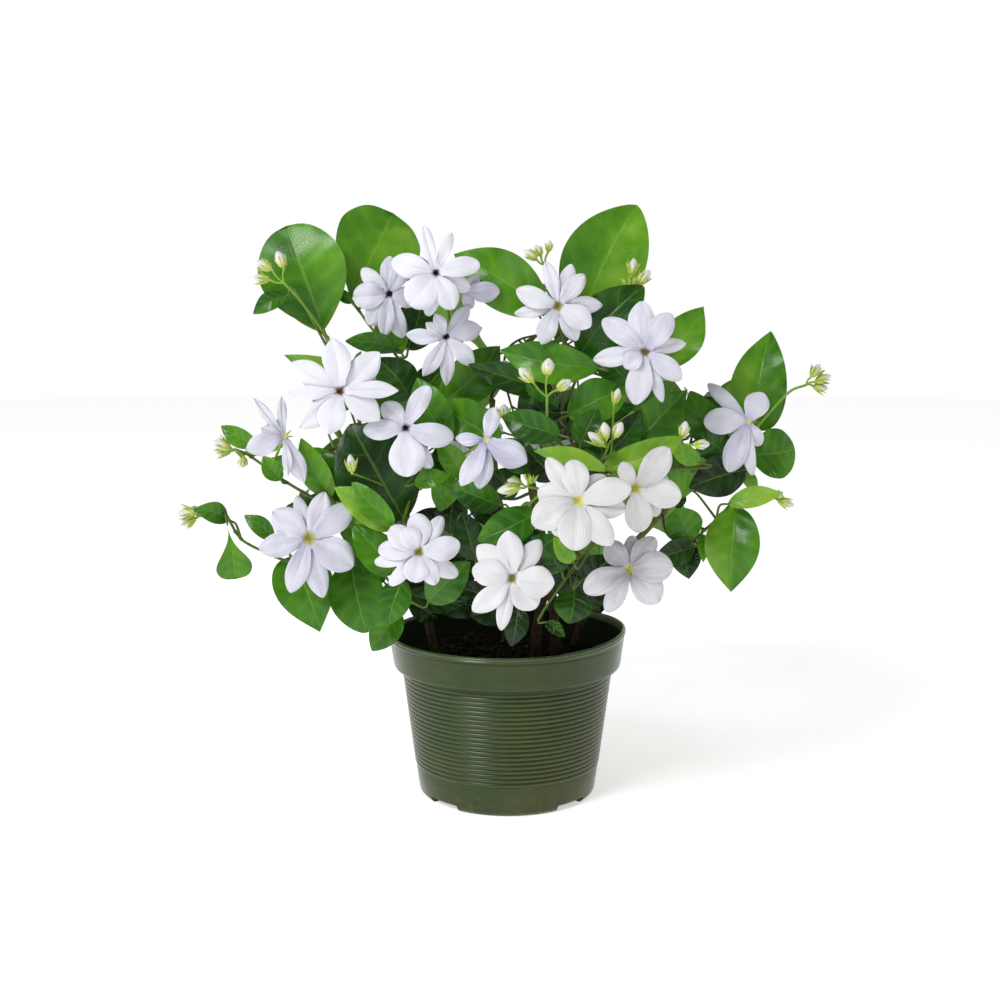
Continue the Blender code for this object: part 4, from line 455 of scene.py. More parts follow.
def blade_solid(blade, root, thick, stations, grow=0.0):
    """Closed solid of a leaf: four-sided sections from the stalk's root to the tip."""
    verts, faces = [], []
    r = 0.00060 + grow
    bend = stalk_bend(blade, root)
    line = [(root, bend - root), (bend, (bend - root).normalized() + blade.axis), (blade.base, blade.axis)]
    if blade.straight:
        line = [(root, blade.base - root), (blade.base, blade.base - root + blade.axis * (blade.base - root).length)]
    for p, d in line:
        turn = blade.axis.rotation_difference(d) if d.length > 1e-5 else Quaternion()
        side, normal = turn @ blade.side, turn @ blade.normal
        for s, n in ((-1, 0), (0, 1), (1, 0), (0, -1)):
            verts.append(p + side * (s * r) + normal * (n * r))
    for t in stations:
        c = blade.point(t, 0.0)
        taper = thick * (1.0 - 0.45 * t) + 2 * grow
        verts += [blade.point(t, -1.0) - blade.side * grow, c + blade.normal * (taper * 0.5),
                  blade.point(t, 1.0) + blade.side * grow, c - blade.normal * (taper * 0.5)]
    n = len(line) + len(stations)
    for i in range(n - 1):
        for k in range(4):
            k2 = (k + 1) % 4
            faces.append((i * 4 + k, i * 4 + k2, (i + 1) * 4 + k2, (i + 1) * 4 + k))
    verts.append(blade.tip + blade.axis * grow)
    last = (n - 1) * 4
    for k in range(4):
        faces.append((last + k, last + (k + 1) % 4, n * 4))
    faces.append((3, 2, 1, 0))
    return verts, faces


STATIONS = (0.16, 0.45, 0.76)


class Placed:
    """Pieces already in place, against which a new one is tried."""

    def __init__(self):
        self.items = []

    def add(self, owner, verts, faces):
        tree = BVHTree.FromPolygons([v[:] for v in verts], faces, all_triangles=False)
        lo = Vector([min(v[k] for v in verts) for k in range(3)])
        hi = Vector([max(v[k] for v in verts) for k in range(3)])
        self.items.append((owner, tree, lo, hi))

    def hits(self, verts, faces, skip=(), only=None):
        """Count of crossing faces with what is in place, without 'skip' or with 'only'."""
        lo = Vector([min(v[k] for v in verts) for k in range(3)])
        hi = Vector([max(v[k] for v in verts) for k in range(3)])
        tree = None
        n = 0
        for owner, other, a, b in self.items:
            if only is None and (owner in skip or owner.endswith((".outer", ".stem"))):
                continue
            if only is not None and owner not in only:
                continue
            if any(lo[k] > b[k] or hi[k] < a[k] for k in range(3)):
                continue
            if tree is None:
                tree = BVHTree.FromPolygons([v[:] for v in verts], faces, all_triangles=False)
            n += len(tree.overlap(other))
        return n

    def hides(self, p):
        """True if something in place stands between the viewpoint and p."""
        d = p - EYE
        far = d.length - 0.002
        d.normalize()
        return any(tree.ray_cast(EYE, d, far)[0] is not None for owner, tree, a, b in self.items)

    def clear(self, blade, root, name):
        """Crossings of a leaf of shoot 'name', whose stalk meets its own stem at the root."""
        n = self.hits(*blade_solid(blade, root, LEAF_T, STATIONS, 0.0005), skip=(name, name + ".leaf"))
        if n == 0:
            outer = blade_solid(blade, root.lerp(stalk_bend(blade, root), 0.40), LEAF_T, STATIONS, 0.0003)
            n = self.hits(*outer, only=(name + ".outer", name + ".stem"))
        return n

    def add_leaf(self, blade, root, name):
        self.add(name + ".leaf", *blade_solid(blade, root, LEAF_T, STATIONS, 0.0005))
        self.add(name + ".outer", *blade_solid(blade, root.lerp(stalk_bend(blade, root), 0.40), LEAF_T, STATIONS, 0.0003))


def petals_3d(name, k=0):
    """Throat, facing, side and up directions, petal rows in metres, throat tone, shade."""
    if name in FLOWERS:
        (px, py, y, throat, shade), rows = FLOWERS[name]
        c = at(px, py, y)
        f = (EYE - c).normalized()
        rows = [(math.radians(a), span(l, c), span(w, c), dz * 0.001) for a, l, w, dz in rows]
    else:
        place, face, count, length = FAR_FLOWERS[name][1][k]
        c, f = mm(*place), Vector(face).normalized()
        throat, shade = 0.6, 0.2
        rng = random.Random(name + str(k))
        rows = []
        for j in range(count):
            a = 2 * math.pi * j / count + rng.uniform(-0.16, 0.16)
            l = length * 0.001 * rng.uniform(0.88, 1.08)
            rows.append((a, l, l * rng.uniform(0.44, 0.62), rng.uniform(-0.5, 4.0) * 0.001))
    u = Vector((0.0, 0.0, 1.0)).cross(f).normalized()
    return c, f, u, f.cross(u), rows, throat, shade


def petal_reach(row, w):
    """How far a petal's outline reaches from the throat in direction w."""
    a, length, width, dz = row
    d = abs((w - a + math.pi) % (2 * math.pi) - math.pi)
    if d > 1.3:
        return 0.0
    for i in range(24, 0, -1):
        r = length * i / 24
        t = min(r * math.cos(d) / length, 0.999)
        h = 0.5 * width * math.sin(math.pi * t ** 1.55) ** 0.62 if t > 0 else 0.0
        h = max(h, 0.16 * width * (1 - t))
        if r * math.sin(d) <= h:
            return r
    return 0.0


def flower_plate(name, thick, k=0, turns=24):
    """Closed plate with the outline and hollow of all the petals of one flower."""
    c, f, u, v, rows, throat, shade = petals_3d(name, k)
    floor = min(r[1] for r in rows) * 0.30
    front, back = [c + f * 0.0], [c - f * thick]
    for i in range(turns):
        w = 2 * math.pi * i / turns
        best, row = max(((petal_reach(r, w), r) for r in rows), key=lambda x: x[0])
        reach = max(best, floor)
        dz = row[3] * (reach / row[1]) ** 1.5 if best > floor else 0.001
        p = c + u * (reach * math.cos(w)) + v * (reach * math.sin(w)) - f * dz
        front.append(p)
        back.append(p - f * thick)
    verts = front + back
    m = turns + 1
    faces = []
    for i in range(turns):
        a, b = 1 + i, 1 + (i + 1) % turns
        faces += [(0, a, b), (m, m + b, m + a), (a, m + a, m + b, b)]
    return verts, faces


def flower_stalk(name, stems, radii):
    """Path and radii of the tube, calyx and stalk behind a flower, down to a stem."""
    c, f, u, v, rows, throat, shade = petals_3d(name)
    calyx = c - f * 0.0155 - Vector((0.0, 0.0, 0.0006))
    aim = c - f * 0.022 - Vector((0.0, 0.0, 0.010))
    d, key = min(((stems[k][nearest(stems[k], aim)] - aim).length, k) for k in stems)
    foot, e = leave(stems[key], radii[key], calyx)
    reach = (foot - calyx).length
    path = [c - f * 0.0006, c - f * 0.0080, calyx, calyx - f * 0.0030,
            (calyx - f * 0.006).lerp(foot + e * 0.004, 0.6), foot + e * 0.0025, foot]
    if reach < 0.012:
        path = path[:3] + [calyx.lerp(foot + e * 0.0025, 0.5), foot + e * 0.0025, foot]
        return path, [0.0016, 0.0012, 0.0019, 0.0010, 0.0008, 0.0008], key
    return path, [0.0016, 0.0012, 0.0020, 0.0013, 0.0008, 0.0008, 0.0008], key


def cluster_stalks(name, stems, radii):
    """Paths and radii of a far cluster: the common stalk, then one for each flower."""
    fork = mm(*FAR_FLOWERS[name][0])
    d, key = min(((stems[k][nearest(stems[k], fork)] - fork).length, k) for k in stems)
    foot, e = leave(stems[key], radii[key], fork)
    tubes = [([foot, foot + e * 0.002, foot.lerp(fork, 0.6), fork], [0.0009, 0.0009, 0.0010, 0.0011])]
    for k in range(len(FAR_FLOWERS[name][1])):
        c, f, u, v, rows, throat, shade = petals_3d(name, k)
        calyx = c - f * 0.0155 - Vector((0.0, 0.0, 0.0006))
        path = [c - f * 0.0006, c - f * 0.0080, calyx, calyx - f * 0.0030,
                (calyx - f * 0.006).lerp(fork, 0.6), fork - (calyx - fork).normalized() * 0.0003]
        tubes.append((path, [0.0016, 0.0012, 0.0020, 0.0013, 0.0008, 0.0008]))
    return tubes, key


def bud_parts(name, stems, radii):
    """Stalk paths and bud axes of a cluster: (paths with radii, buds)."""
    foot, fork, buds = BUDS[name]
    a, b = at(*foot), at(*fork)
    d, key = min(((stems[k][nearest(stems[k], a)] - a).length, k) for k in stems)
    start, e = leave(stems[key], radii[key], a)
    path = [start, start + e * 0.002]
    if d > 0.006:
        path.append(a)
    path.append(b)
    tubes = [(path, [0.0008] * len(path))]
    shapes, solids = [], []
    for bx, by, tx, ty, w, y, opening in buds:
        for step in (0, 2, -2, 4, -4, 6, -6, 8, -8, 10):
            base, tip = at(bx, by, y + step), at(tx, ty, y + step)
            shape = (base, tip, span(w, base), opening)
            line, rad = bud_line(b, *shape)
            tree = BVHTree.FromPolygons(*[list(q) for q in tube([line[0].lerp(line[1], 0.6)] + line[1:], [r + 0.0003 for r in rad], 6)])
            if not any(tree.overlap(other) for other in solids):
                break
        shapes.append(shape)
        solids.append(tree)
    return tubes, shapes


def bud_line(fork, base, tip, width, opening):
    """Path and radii of one bud with its own stalk from the fork."""
    d = tip - base
    path = [fork - (base - fork).normalized() * (0.0002 + 0.05 * width), base, base + d * 0.08]
    rad = [0.0007, 0.0007, 0.0013]
    if opening >= 0.9:
        rows = ((0.40, 0.0022), (1.0, 0.0010))
    else:
        rows = ((0.48, width * 0.46), (0.80, width * 0.38), (1.0, 0.0010))
    return path + [base + d * t for t, r in rows], rad + [r for t, r in rows]


def far_leaf(rng, stem_path, s, side, out):
    """Base, tip, normal of a leaf on the far side."""
    n = len(stem_path)
    k = min(int(s * (n - 1)), n - 2)
    p = stem_path[k].lerp(stem_path[k + 1], s * (n - 1) - k)
    run = (stem_path[min(int(s * (n - 1)) + 1, n - 1)] - stem_path[max(int(s * (n - 1)) - 1, 0)]).normalized()
    up = Vector((0.0, 0.0, 1.0))
    cross = run.cross(out).normalized() * side
    axis = (cross * rng.uniform(0.5, 1.1) + out * rng.uniform(0.1, 0.9) + run * rng.uniform(0.0, 0.6) + up * rng.uniform(-0.7, 0.5)).normalized()
    length = rng.uniform(0.046, 0.064)
    base = p + axis * rng.uniform(0.008, 0.018)
    normal = (out * rng.uniform(0.5, 1.0) + up * rng.uniform(0.2, 0.9)).normalized()
    return p, base, base + axis * length, normal, length


# ---------------------------------------------------------------- the whole plant
def grow():
    """Every part of the plant with its final place, shared by all the pieces."""
    stems, radii, parents = {}, {}, {}
    for name, (pts, r0, r1) in CANES.items():
        path = smooth([mm(*p) for p in pts], 2 * len(pts) - 1)
        stems[name] = path
        radii[name] = [r0 + (r1 - r0) * i / (len(path) - 1) for i in range(len(path))]
    for name in list(SHOOTS) + list(FAR_SHOOTS):
        parent = (SHOOTS.get(name) or FAR_SHOOTS[name])[0]
        pts = [at(*p) for p in SHOOTS[name][1]] if name in SHOOTS else [mm(*p) for p in FAR_SHOOTS[name][2][0][0]]
        start, e = leave(stems[parent], radii[parent], pts[0])
        path = [start] + smooth([start + e * 0.003] + pts, 2 * len(pts))
        stems[name] = path
        radii[name] = [0.0014 + (0.0009 - 0.0014) * i / (len(path) - 1) for i in range(len(path))]
    branches = {name: [] for name in stems}
    for name, (parent, seed, rows) in FAR_SHOOTS.items():
        for pts, pairs in rows[1:]:
            pts = [mm(*p) for p in pts]
            i = min(max(nearest(stems[name], pts[0]), 2), len(stems[name]) - 2)
            path = smooth([stems[name][i]] + pts, 5)
            branches[name].append((path, [0.00105, 0.0010, 0.0009, 0.0008, 0.0008]))
    placed = Placed()
    for name, path in stems.items():
        for path, rad in [(path, radii[name])] + branches[name]:
            placed.add(name, *tube(path, [r + 0.0005 for r in rad], 5))
            placed.add(name + ".stem", *tube(path, [r * 0.9 for r in rad], 4))
    flowers = {}
    for name in FLOWERS:
        path, rad, key = flower_stalk(name, stems, radii)
        flowers[name] = ([(path, rad)], key)
        placed.add(name, *flower_plate(name, PETAL_T + 0.0010))
        placed.add(name, *tube(path, [r + 0.0005 for r in rad], 6))
    for name in FAR_FLOWERS:
        tubes, key = cluster_stalks(name, stems, radii)
        flowers[name] = (tubes, key)
        for k in range(len(tubes) - 1):
            placed.add(name, *flower_plate(name, PETAL_T + 0.0010, k))
        for path, rad in tubes:
            placed.add(name, *tube(path, [r + 0.0005 for r in rad], 6))
    buds = {}
    for name in BUDS:
        tubes, shapes = bud_parts(name, stems, radii)
        buds[name] = (tubes, shapes)
        for path, rad in tubes:
            placed.add(name, *tube(path, [r + 0.0005 for r in rad], 5))
        for shape in shapes:
            path, rad = bud_line(tubes[0][0][-1], *shape)
            placed.add(name, *tube(path, [r + 0.0005 for r in rad], 6))
    leaves = []
    log = []
    moves = [0, 4, -4, 8, -8, 12, -12, 16, 20, 26]
    trials = sorted((abs(a) + 0.7 * abs(b) + 0.5 * abs(c) + 2.5 * abs(d), a, b, c, d)
                    for a in moves for b in (0, 7, -7, 14, -14) for c in (0, 18, -18) for d in (0, 1, -1, 2, -2))
    for name, row in SHOOTS.items():
        for j, (bx, by, bd, tx, ty, td, w, roll, arch, fold, tone) in enumerate(row[2]):
            best = None
            for cost, ds, dt, dr, dk in trials:
                base, tip = at(bx, by, bd + ds), at(tx, ty, td + ds + dt)
                mid = base.lerp(tip, 0.5)
                n = (EYE - mid).normalized()
                axis = (tip - base).normalized()
                turn = math.radians(roll + dr)
                n = (n - axis * n.dot(axis)).normalized()
                n = Matrix.Rotation(turn, 3, axis) @ n
                blade = Blade(base, tip, span(w, mid) / max(math.cos(turn), 0.4), n, arch * 0.001, fold, 0.50, 0.72)
                k = nearest(stems[name][2:], base) + 2 + dk
                if not 1 <= k < len(stems[name]):
                    continue
                root = stems[name][k]
                hits = placed.clear(blade, root, name)
                if best is None or hits < best[0]:
                    best = (hits, cost, blade, root)
                if hits == 0:
                    break
            hits, cost, blade, root = best
            log.append((name, j, hits, round(cost, 1)))
            leaves.append((name, blade, root, tone, hits))
            placed.add_leaf(blade, root, name)
    # leaves of the other sides: each is tried in a few attitudes, and kept if it is
    # clear of its neighbours and stays behind what is already seen
    hub = Vector((0.0, 0.0, 0.20))
    for name, (parent, seed, rows) in FAR_SHOOTS.items():
        rng = random.Random(seed)
        for b, (pts, pairs) in enumerate(rows):
            path = stems[name] if b == 0 else branches[name][b - 1][0]
            for j in range(pairs * 2):
                done = False
                for attempt in range(60):
                    s = (0.35 if b == 0 else 0.30) + (0.65 if b == 0 else 0.70) * ((j // 2) + 0.5) / pairs
                    p = path[min(int(s * (len(path) - 1)), len(path) - 1)]
                    out = p - hub
                    out.z *= 0.6
                    out.normalize()
                    root, base, tip, normal, length = far_leaf(rng, path, s, 1 if j % 2 else -1, out)
                    blade = Blade(base, tip, length * rng.uniform(0.58, 0.70), normal, rng.uniform(0.003, 0.007), rng.uniform(0.10, 0.25), 0.48, 0.72)
                    blade.straight = True
                    if placed.clear(blade, root, name):
                        continue
                    marks = [blade.point(t, q) for t in (0.12, 0.35, 0.6, 0.85) for q in (-1, 0, 1)] + [tip, base]
                    if not all(placed.hides(m) for m in marks):
                        continue
                    leaves.append((name, blade, root, rng.uniform(0.15, 0.75), 0))
                    placed.add_leaf(blade, root, name)
                    done = True
                    break
                log.append((name, j, 0 if done else -1, b))
    return stems, radii, branches, flowers, buds, leaves, log


# ---------------------------------------------------------------- fine meshes
TINTS = ("tone", "under", "seed", "shade", "warm", "eye", "throat", "age")
SPLITS = (-1.0, -0.92, -0.76, -0.56, -0.34, -0.14, 0.0, 0.14, 0.34, 0.56, 0.76, 0.92, 1.0)
FAR_SPLITS = (-1.0, -0.84, -0.52, -0.18, 0.0, 0.18, 0.52, 0.84, 1.0)


class Piece:
    """One piece of the plant in the making: closed shells with their surface
    coordinates, tints and material numbers."""

    def __init__(self, *materials):
        self.verts, self.faces, self.mats, self.uv = [], [], [], []
        self.tints = {key: [] for key in TINTS}
        self.materials = materials

    def add(self, verts, faces, mat=0, uv=None, **tints):
        base, n = len(self.verts), len(verts)
        self.verts += [v[:] for v in verts]
        self.faces += [tuple(base + i for i in f) for f in faces]
        self.mats += [mat] * len(faces)
        self.uv += uv or [(0.5, 0.5)] * n
        for key in TINTS:
            value = tints.get(key, 0.0)
            self.tints[key] += value if isinstance(value, list) else [value] * n

    def make(self, name, node, sharp=55.0):
        mesh = bpy.data.meshes.new(name)
        mesh.from_pydata(self.verts, [], self.faces)
        for m in self.materials:
            mesh.materials.append(m)
        mesh.polygons.foreach_set("material_index", self.mats)
        mesh.polygons.foreach_set("use_smooth", [True] * len(self.faces))
        ends = np.empty(len(mesh.loops), dtype=np.int32)
        mesh.loops.foreach_get("vertex_index", ends)
        layer = mesh.uv_layers.new(name="surface")
        layer.data.foreach_set("uv", np.array(self.uv, dtype=np.float32)[ends].ravel())
        for key, values in self.tints.items():
            if any(values):
                made = mesh.attributes.new(key, "FLOAT", "POINT")
                made.data.foreach_set("value", np.array(values, dtype=np.float32))
        mesh.update()
        mesh.set_sharp_from_angle(angle=math.radians(sharp))
        ob = bpy.data.objects.new(name, mesh)
        bpy.context.scene.collection.objects.link(ob)
        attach(ob, "root")
        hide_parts(node)
        return ob


def sheet_shell(point, thick, up, rows, splits, base, tip):
    """Closed thin shell over point(t, s), with surface coordinates and an underside
    mark. thick(t, s) gives how far the upper and the lower face stand off it."""
    n, m = len(rows), len(splits)
    verts, uv, under, top, low = [], [], [], [], []
    for t in rows:
        line = []
        for j, s in enumerate(splits):
            edge = j in (0, m - 1)
            line.append(len(verts))
            verts.append(point(t, s) + up * (0.0 if edge else thick(t, s)[0]))
            uv.append(((s + 1.0) * 0.5, t))
            under.append(0.0)
        top.append(line)
    for i, t in enumerate(rows):
        line = [top[i][0]]
        for j, s in list(enumerate(splits))[1:-1]:
            line.append(len(verts))
            verts.append(point(t, s) - up * thick(t, s)[1])
            uv.append(((s + 1.0) * 0.5, t))
            under.append(1.0)
        low.append(line + [top[i][-1]])
    faces = []
    for i in range(n - 1):
        for j in range(m - 1):
            faces.append((top[i][j], top[i][j + 1], top[i + 1][j + 1], top[i + 1][j]))
            faces.append((low[i][j + 1], low[i][j], low[i + 1][j], low[i + 1][j + 1]))
    b, e = len(verts), len(verts) + 1
    verts += [base, tip]
    uv += [(0.5, 0.0), (0.5, 1.0)]
    under += [0.0, 0.0]
    for j in range(m - 1):
        faces += [(b, top[0][j + 1], top[0][j]), (b, low[0][j], low[0][j + 1])]
        faces += [(e, top[-1][j], top[-1][j + 1]), (e, low[-1][j + 1], low[-1][j])]
    return verts, faces, uv, under


def spread(values, n):
    """n values read evenly along a list."""
    out = []
    for i in range(n):
        u = i * (len(values) - 1) / (n - 1)
        k = min(int(u), len(values) - 2)
        out.append(values[k] + (values[k + 1] - values[k]) * (u - k))
    return out


def fine_tube(piece, path, radii, sides, mat, n=None, rough=0.0, **tints):
    """Closed round stalk through the points, smoothed, with rounded ends."""
    n = n or 4 * len(path)
    line, rad = smooth(path, n), spread(radii, n)
    if rough:
        rad = [r * (1.0 + rough * noise.noise(p * 160.0)) for p, r in zip(line, rad)]
    first = line[0] - (line[1] - line[0]).normalized() * rad[0] * 0.5
    last = line[-1] + (line[-1] - line[-2]).normalized() * rad[-1] * 0.5
    line = [first] + line + [last]
    rad = [rad[0] * 0.5] + rad + [rad[-1] * 0.5]
    verts, faces = tube(line, rad, sides)
    for key in ("age",):
        if isinstance(tints.get(key), tuple):
            a, b = tints[key]
            tints[key] = [a + (b - a) * (i // sides) / (len(line) - 1) for i in range(len(verts))]
    piece.add(verts, faces, mat, **tints)


def spike(piece, foot, aim, length, width, mat, bend=None, **tints):
    """Thin pointed green lobe, as of a calyx."""
    aim = aim.normalized()
    bend = bend or aim
    path = [foot + aim * (length * t) + bend * (length * 0.25 * t * t) for t in (0.0, 0.35, 0.7, 1.0)]
    verts, faces = tube(path, [width * 0.5, width * 0.5, width * 0.36, width * 0.06], 5)
    piece.add(verts, faces, mat, **tints)


# ---------------------------------------------------------------- leaves
# (shoot, place in its list): widest place, roundness of foot and of tip (lower is
# rounder), sideways sweep as a share of the length, wave of the margin in mm
LEAF_LOOKS = {
    ("shoot_upper_left", 0): (0.56, 0.72, 0.42, 0.00, 1.6),
    ("shoot_top_left", 0): (0.60, 0.74, 0.34, 0.00, 2.2),
    ("shoot_top_left", 3): (0.50, 0.70, 0.70, 0.03, 1.0),
    ("shoot_top", 0): (0.46, 0.65, 0.85, 0.03, 1.6),
    ("shoot_top_right", 0): (0.46, 0.58, 0.66, -0.04, 1.8),
    ("shoot_top_right", 2): (0.44, 0.55, 0.95, 0.04, 1.2),
    ("shoot_top_right", 3): (0.42, 0.55, 0.95, 0.03, 1.2),
    ("shoot_right", 0): (0.40, 0.55, 0.85, -0.05, 1.9),
    ("shoot_right", 1): (0.50, 0.60, 0.50, 0.02, 1.2),
    ("shoot_mid_right", 0): (0.50, 0.60, 1.00, 0.05, 0.6),
    ("shoot_mid_right", 1): (0.45, 0.60, 0.90, 0.06, 0.8),
    ("shoot_mid_right", 2): (0.40, 0.60, 1.05, 0.00, 1.0),
    ("shoot_lower_right", 0): (0.55, 0.60, 0.50, 0.00, 0.8),
    ("shoot_lower_right", 4): (0.44, 0.55, 0.95, 0.02, 1.2),
    ("shoot_lower_right", 5): (0.45, 0.70, 1.00, -0.04, 0.6),
    ("shoot_left_centre", 0): (0.50, 0.60, 0.70, 0.00, 1.6),
    ("shoot_low_left", 0): (0.50, 0.70, 0.90, 0.10, 0.6),
    ("shoot_low_left", 1): (0.78, 1.15, 0.30, 0.00, 1.0),
    ("shoot_low_left", 2): (0.38, 0.50, 0.98, -0.03, 1.4),
    ("shoot_low_left", 3): (0.52, 0.58, 0.60, 0.02, 1.4),
}


# painted light and shade: how much lighter one half of a leaf is than the other, as if a fold caught the light on one
# side
LIT_AND_SHADED_HALVES = {("shoot_lower_right", 4): 0.16, ("shoot_top_right", 0): 0.08, ("shoot_upper_left", 0): 0.10, ("shoot_right", 0): -0.08}


def leaf_half(blade, look, t):
    """Half width of a leaf at t."""
    widest, foot, end = look[:3]
    if t <= 0.0 or t >= 1.0:
        return 0.0
    w = math.sin(math.pi * t ** (math.log(0.5) / math.log(widest)))
    return 0.5 * blade.width * max(w, 0.0) ** (foot + (end - foot) * t)


def fine_leaf(piece, shoot, j, blade, root, tone, far):
    rng = random.Random("%s %d" % (shoot, j))
    look = LEAF_LOOKS.get((shoot, j))
    if look is None or far:
        look = (rng.uniform(0.43, 0.50), rng.uniform(0.55, 0.66), rng.uniform(0.72, 0.95),
                rng.uniform(-0.06, 0.06), rng.uniform(0.7, 1.8))
    sweep, wave = look[3] * blade.length, look[4] * 0.001 * min(1.0, blade.width / 0.030)
    p1, p2, f1 = rng.uniform(0, 6.3), rng.uniform(0, 6.3), rng.uniform(1.6, 2.6)
    droop = rng.uniform(0.0, 0.05) * blade.length
    twist = rng.uniform(-0.26, 0.26)
    roll_s, roll_h = rng.choice((-1, 1)), rng.uniform(0.0, 0.32)
    pairs = 5.0

    def point(t, s):
        h = leaf_half(blade, look, t)
        a = abs(s)
        z = blade.arch * math.sin(math.pi * t) - droop * max(0.0, t - 0.6) ** 2 * 6.0
        z += blade.fold * h * a ** 1.5 * (1.0 - 0.35 * a)
        z += twist * h * s * (t - 0.4)
        z += roll_h * h * max(0.0, s * roll_s - 0.35) ** 2 * math.sin(math.pi * min(1.0, 1.15 * t)) * 1.6
        z += wave * math.sin(2.0 * math.pi * f1 * t + (p1 if s > 0 else p2)) * a ** 2.4 * math.sin(math.pi * t)
        v = pairs * (t - 0.20 * a ** 1.2) + (0.0 if s > 0 else 0.5)
        z += 0.00030 * math.sin(math.pi * (v % 1.0)) * a * (1.0 - a) * 2.6 * min(1.0, h / 0.010)
        z -= 0.00032 * math.exp(-(h * s / 0.0009) ** 2) * (1.0 - t)
        across = h * s * (1.0 - 0.10 * blade.fold * a)
        return (blade.base.lerp(blade.tip, t) + blade.side * (across + sweep * math.sin(math.pi * t))
                + blade.normal * z)

    def thick(t, s):
        h = leaf_half(blade, look, t)
        rib = 0.00055 * math.exp(-(h * s / 0.0010) ** 2) * (1.0 - 0.75 * t)
        body = 0.00017 * (1.0 - abs(s) ** 6)
        return body, body + rib

    count = 18 if far else 30
    rows = [0.012, 0.035] + [0.07 + 0.90 * i / (count - 1) for i in range(count)] + [0.988]
    verts, faces, uv, under = sheet_shell(point, thick, blade.normal, rows, FAR_SPLITS if far else SPLITS,
                                          blade.base, blade.tip)
    # one half of the leaf painted lighter and the other darker, as light falls across its fold
    half = LIT_AND_SHADED_HALVES.get((shoot, j), rng.uniform(-0.07, 0.07))
    tones = [max(0.0, min(1.0, tone + half * max(-1.0, min(1.0, (2.0 * q[0] - 1.0) * 4.0)))) for q in uv]
    piece.add(verts, faces, 0, uv=uv, under=under, tone=tones, seed=rng.random())
    bend = stalk_bend(blade, root)
    stalk = [root, bend, blade.base] if not blade.straight else [root, root.lerp(blade.base, 0.5), blade.base]
    inner = [point(0.06, 0.0) - blade.normal * 0.0003]
    fine_tube(piece, stalk + inner, [0.00085, 0.00070, 0.00062, 0.00040], 8, 1, n=12, age=0.35 + 0.35 * rng.random())


def parent_axis(stems, radii, parent, foot):
    """Point on the middle line of a parent stem nearest to a foot on its skin."""
    path = stems[parent]
    best, where = 1e9, foot
    for a, b in zip(path, path[1:]):
        d = b - a
        t = max(0.0, min(1.0, (foot - a).dot(d) / d.length_squared))
        if (a + d * t - foot).length < best:
            best, where = (a + d * t - foot).length, a + d * t
    return where


def fine_shoot(name, stems, radii, branches, leaves):
    piece = Piece(LEAF, STEM)
    far = name in FAR_SHOOTS
    parent = (SHOOTS.get(name) or FAR_SHOOTS[name])[0]
    start = parent_axis(stems, radii, parent, stems[name][0])
    lines = [([start] + stems[name], [radii[name][0]] + radii[name])] + branches[name]
    own = [(j, row) for j, row in enumerate([r for r in leaves if r[0] == name])]
    for path, rad in lines:
        n = 5 * len(path)
        line, r = smooth(path, n), spread(rad, n)
        knots = [0.0] * len(r)
        for k, p in enumerate(line):
            for j, row in own:
                d = (row[2] - p).length
                knots[k] = max(knots[k], rad[-1] * 1.35 * math.exp(-(d / 0.0018) ** 2))
        r = [max(0.80 * a, b) for a, b in zip(r, knots)]
        fine_tube(piece, line, r, 9, 1, n=len(line), rough=0.10, age=(1.0, 0.35))
        # two folded young leaves end each stem
        tip, run = line[-1], (line[-1] - line[-3]).normalized()
        side = run.cross(Vector((0.3, 0.2, 0.9))).normalized()
        for q in (-1, 1):
            spike(piece, tip, run + side * (0.35 * q), 0.0035, 0.0013, 1, age=0.0)
    for j, (owner, blade, root, tone, hits) in own:
        fine_leaf(piece, name, j, blade, root, tone, far)
    extra = EXTRA_BUDS.get(name, ())
    if extra:
        piece.materials = (LEAF, STEM, PETAL, CALYX)
    for foot, base, tip, width, opening in extra:
        a, b, c = at(*foot), at(*base), at(*tip)
        foot = min((parent_axis({0: path}, radii, 0, a) for path, rad in lines), key=lambda q: (q - a).length)
        fine_tube(piece, [foot, foot.lerp(b, 0.5) + OVER * 0.0006, b], [0.0006, 0.0005, 0.0006], 7, 1, n=10, age=0.15)
        fine_bud(piece, b, c, span(width, b), opening, name, 2, 3)
    return piece.make("fine_" + name, name)


# ---------------------------------------------------------------- flowers
# name: radius of the eye in mm, its tone (0 purple-black, 0.3 brown, 0.6 olive,
# 0.8 yellow-green, 1 pale yellow), strength of the painted grey-lilac shade, warmth, spoon, curl in mm
BLOOMS = {
    "flower_01": (1.5, 0.02, 0.10, 0.00, 0.24, 1.8),
    "flower_02": (1.5, 0.00, 0.50, 0.00, 0.30, 1.8),
    "flower_03": (1.3, 0.10, 0.35, 0.00, 0.24, 1.8),
    "flower_04": (1.8, 0.30, 0.08, 0.00, 0.18, 2.0),
    "flower_05": (1.1, 0.98, 0.55, 0.05, 0.28, 2.2),
    "flower_06": (1.5, 0.10, 0.35, 0.00, 0.24, 2.0),
    "flower_07": (1.1, 0.98, 0.85, 0.00, 0.28, 2.0),
    "flower_08": (2.0, 0.55, 0.45, 0.20, 0.20, 1.6),
    "flower_09": (1.8, 0.40, 0.55, 0.10, 0.24, 2.2),
    "flower_10": (1.1, 0.98, 0.65, 0.05, 0.30, 2.2),
    "flower_11": (2.9, 0.66, 0.65, 0.05, 0.30, 2.2),
    "flower_12": (1.9, 0.58, 0.28, 0.05, 0.20, 1.8),
    "flower_13": (1.9, 0.52, 0.25, 0.40, 0.32, 2.4),
    "flower_14": (2.2, 0.86, 0.55, 0.60, 0.20, 2.8),
    "flower_15": (2.2, 0.72, 0.55, 0.65, 0.32, 2.6),
    "flower_16": (2.0, 0.88, 0.85, 0.45, 0.30, 2.4),
    "flower_17": (1.2, 0.80, 0.60, 0.00, 0.24, 1.2),
}
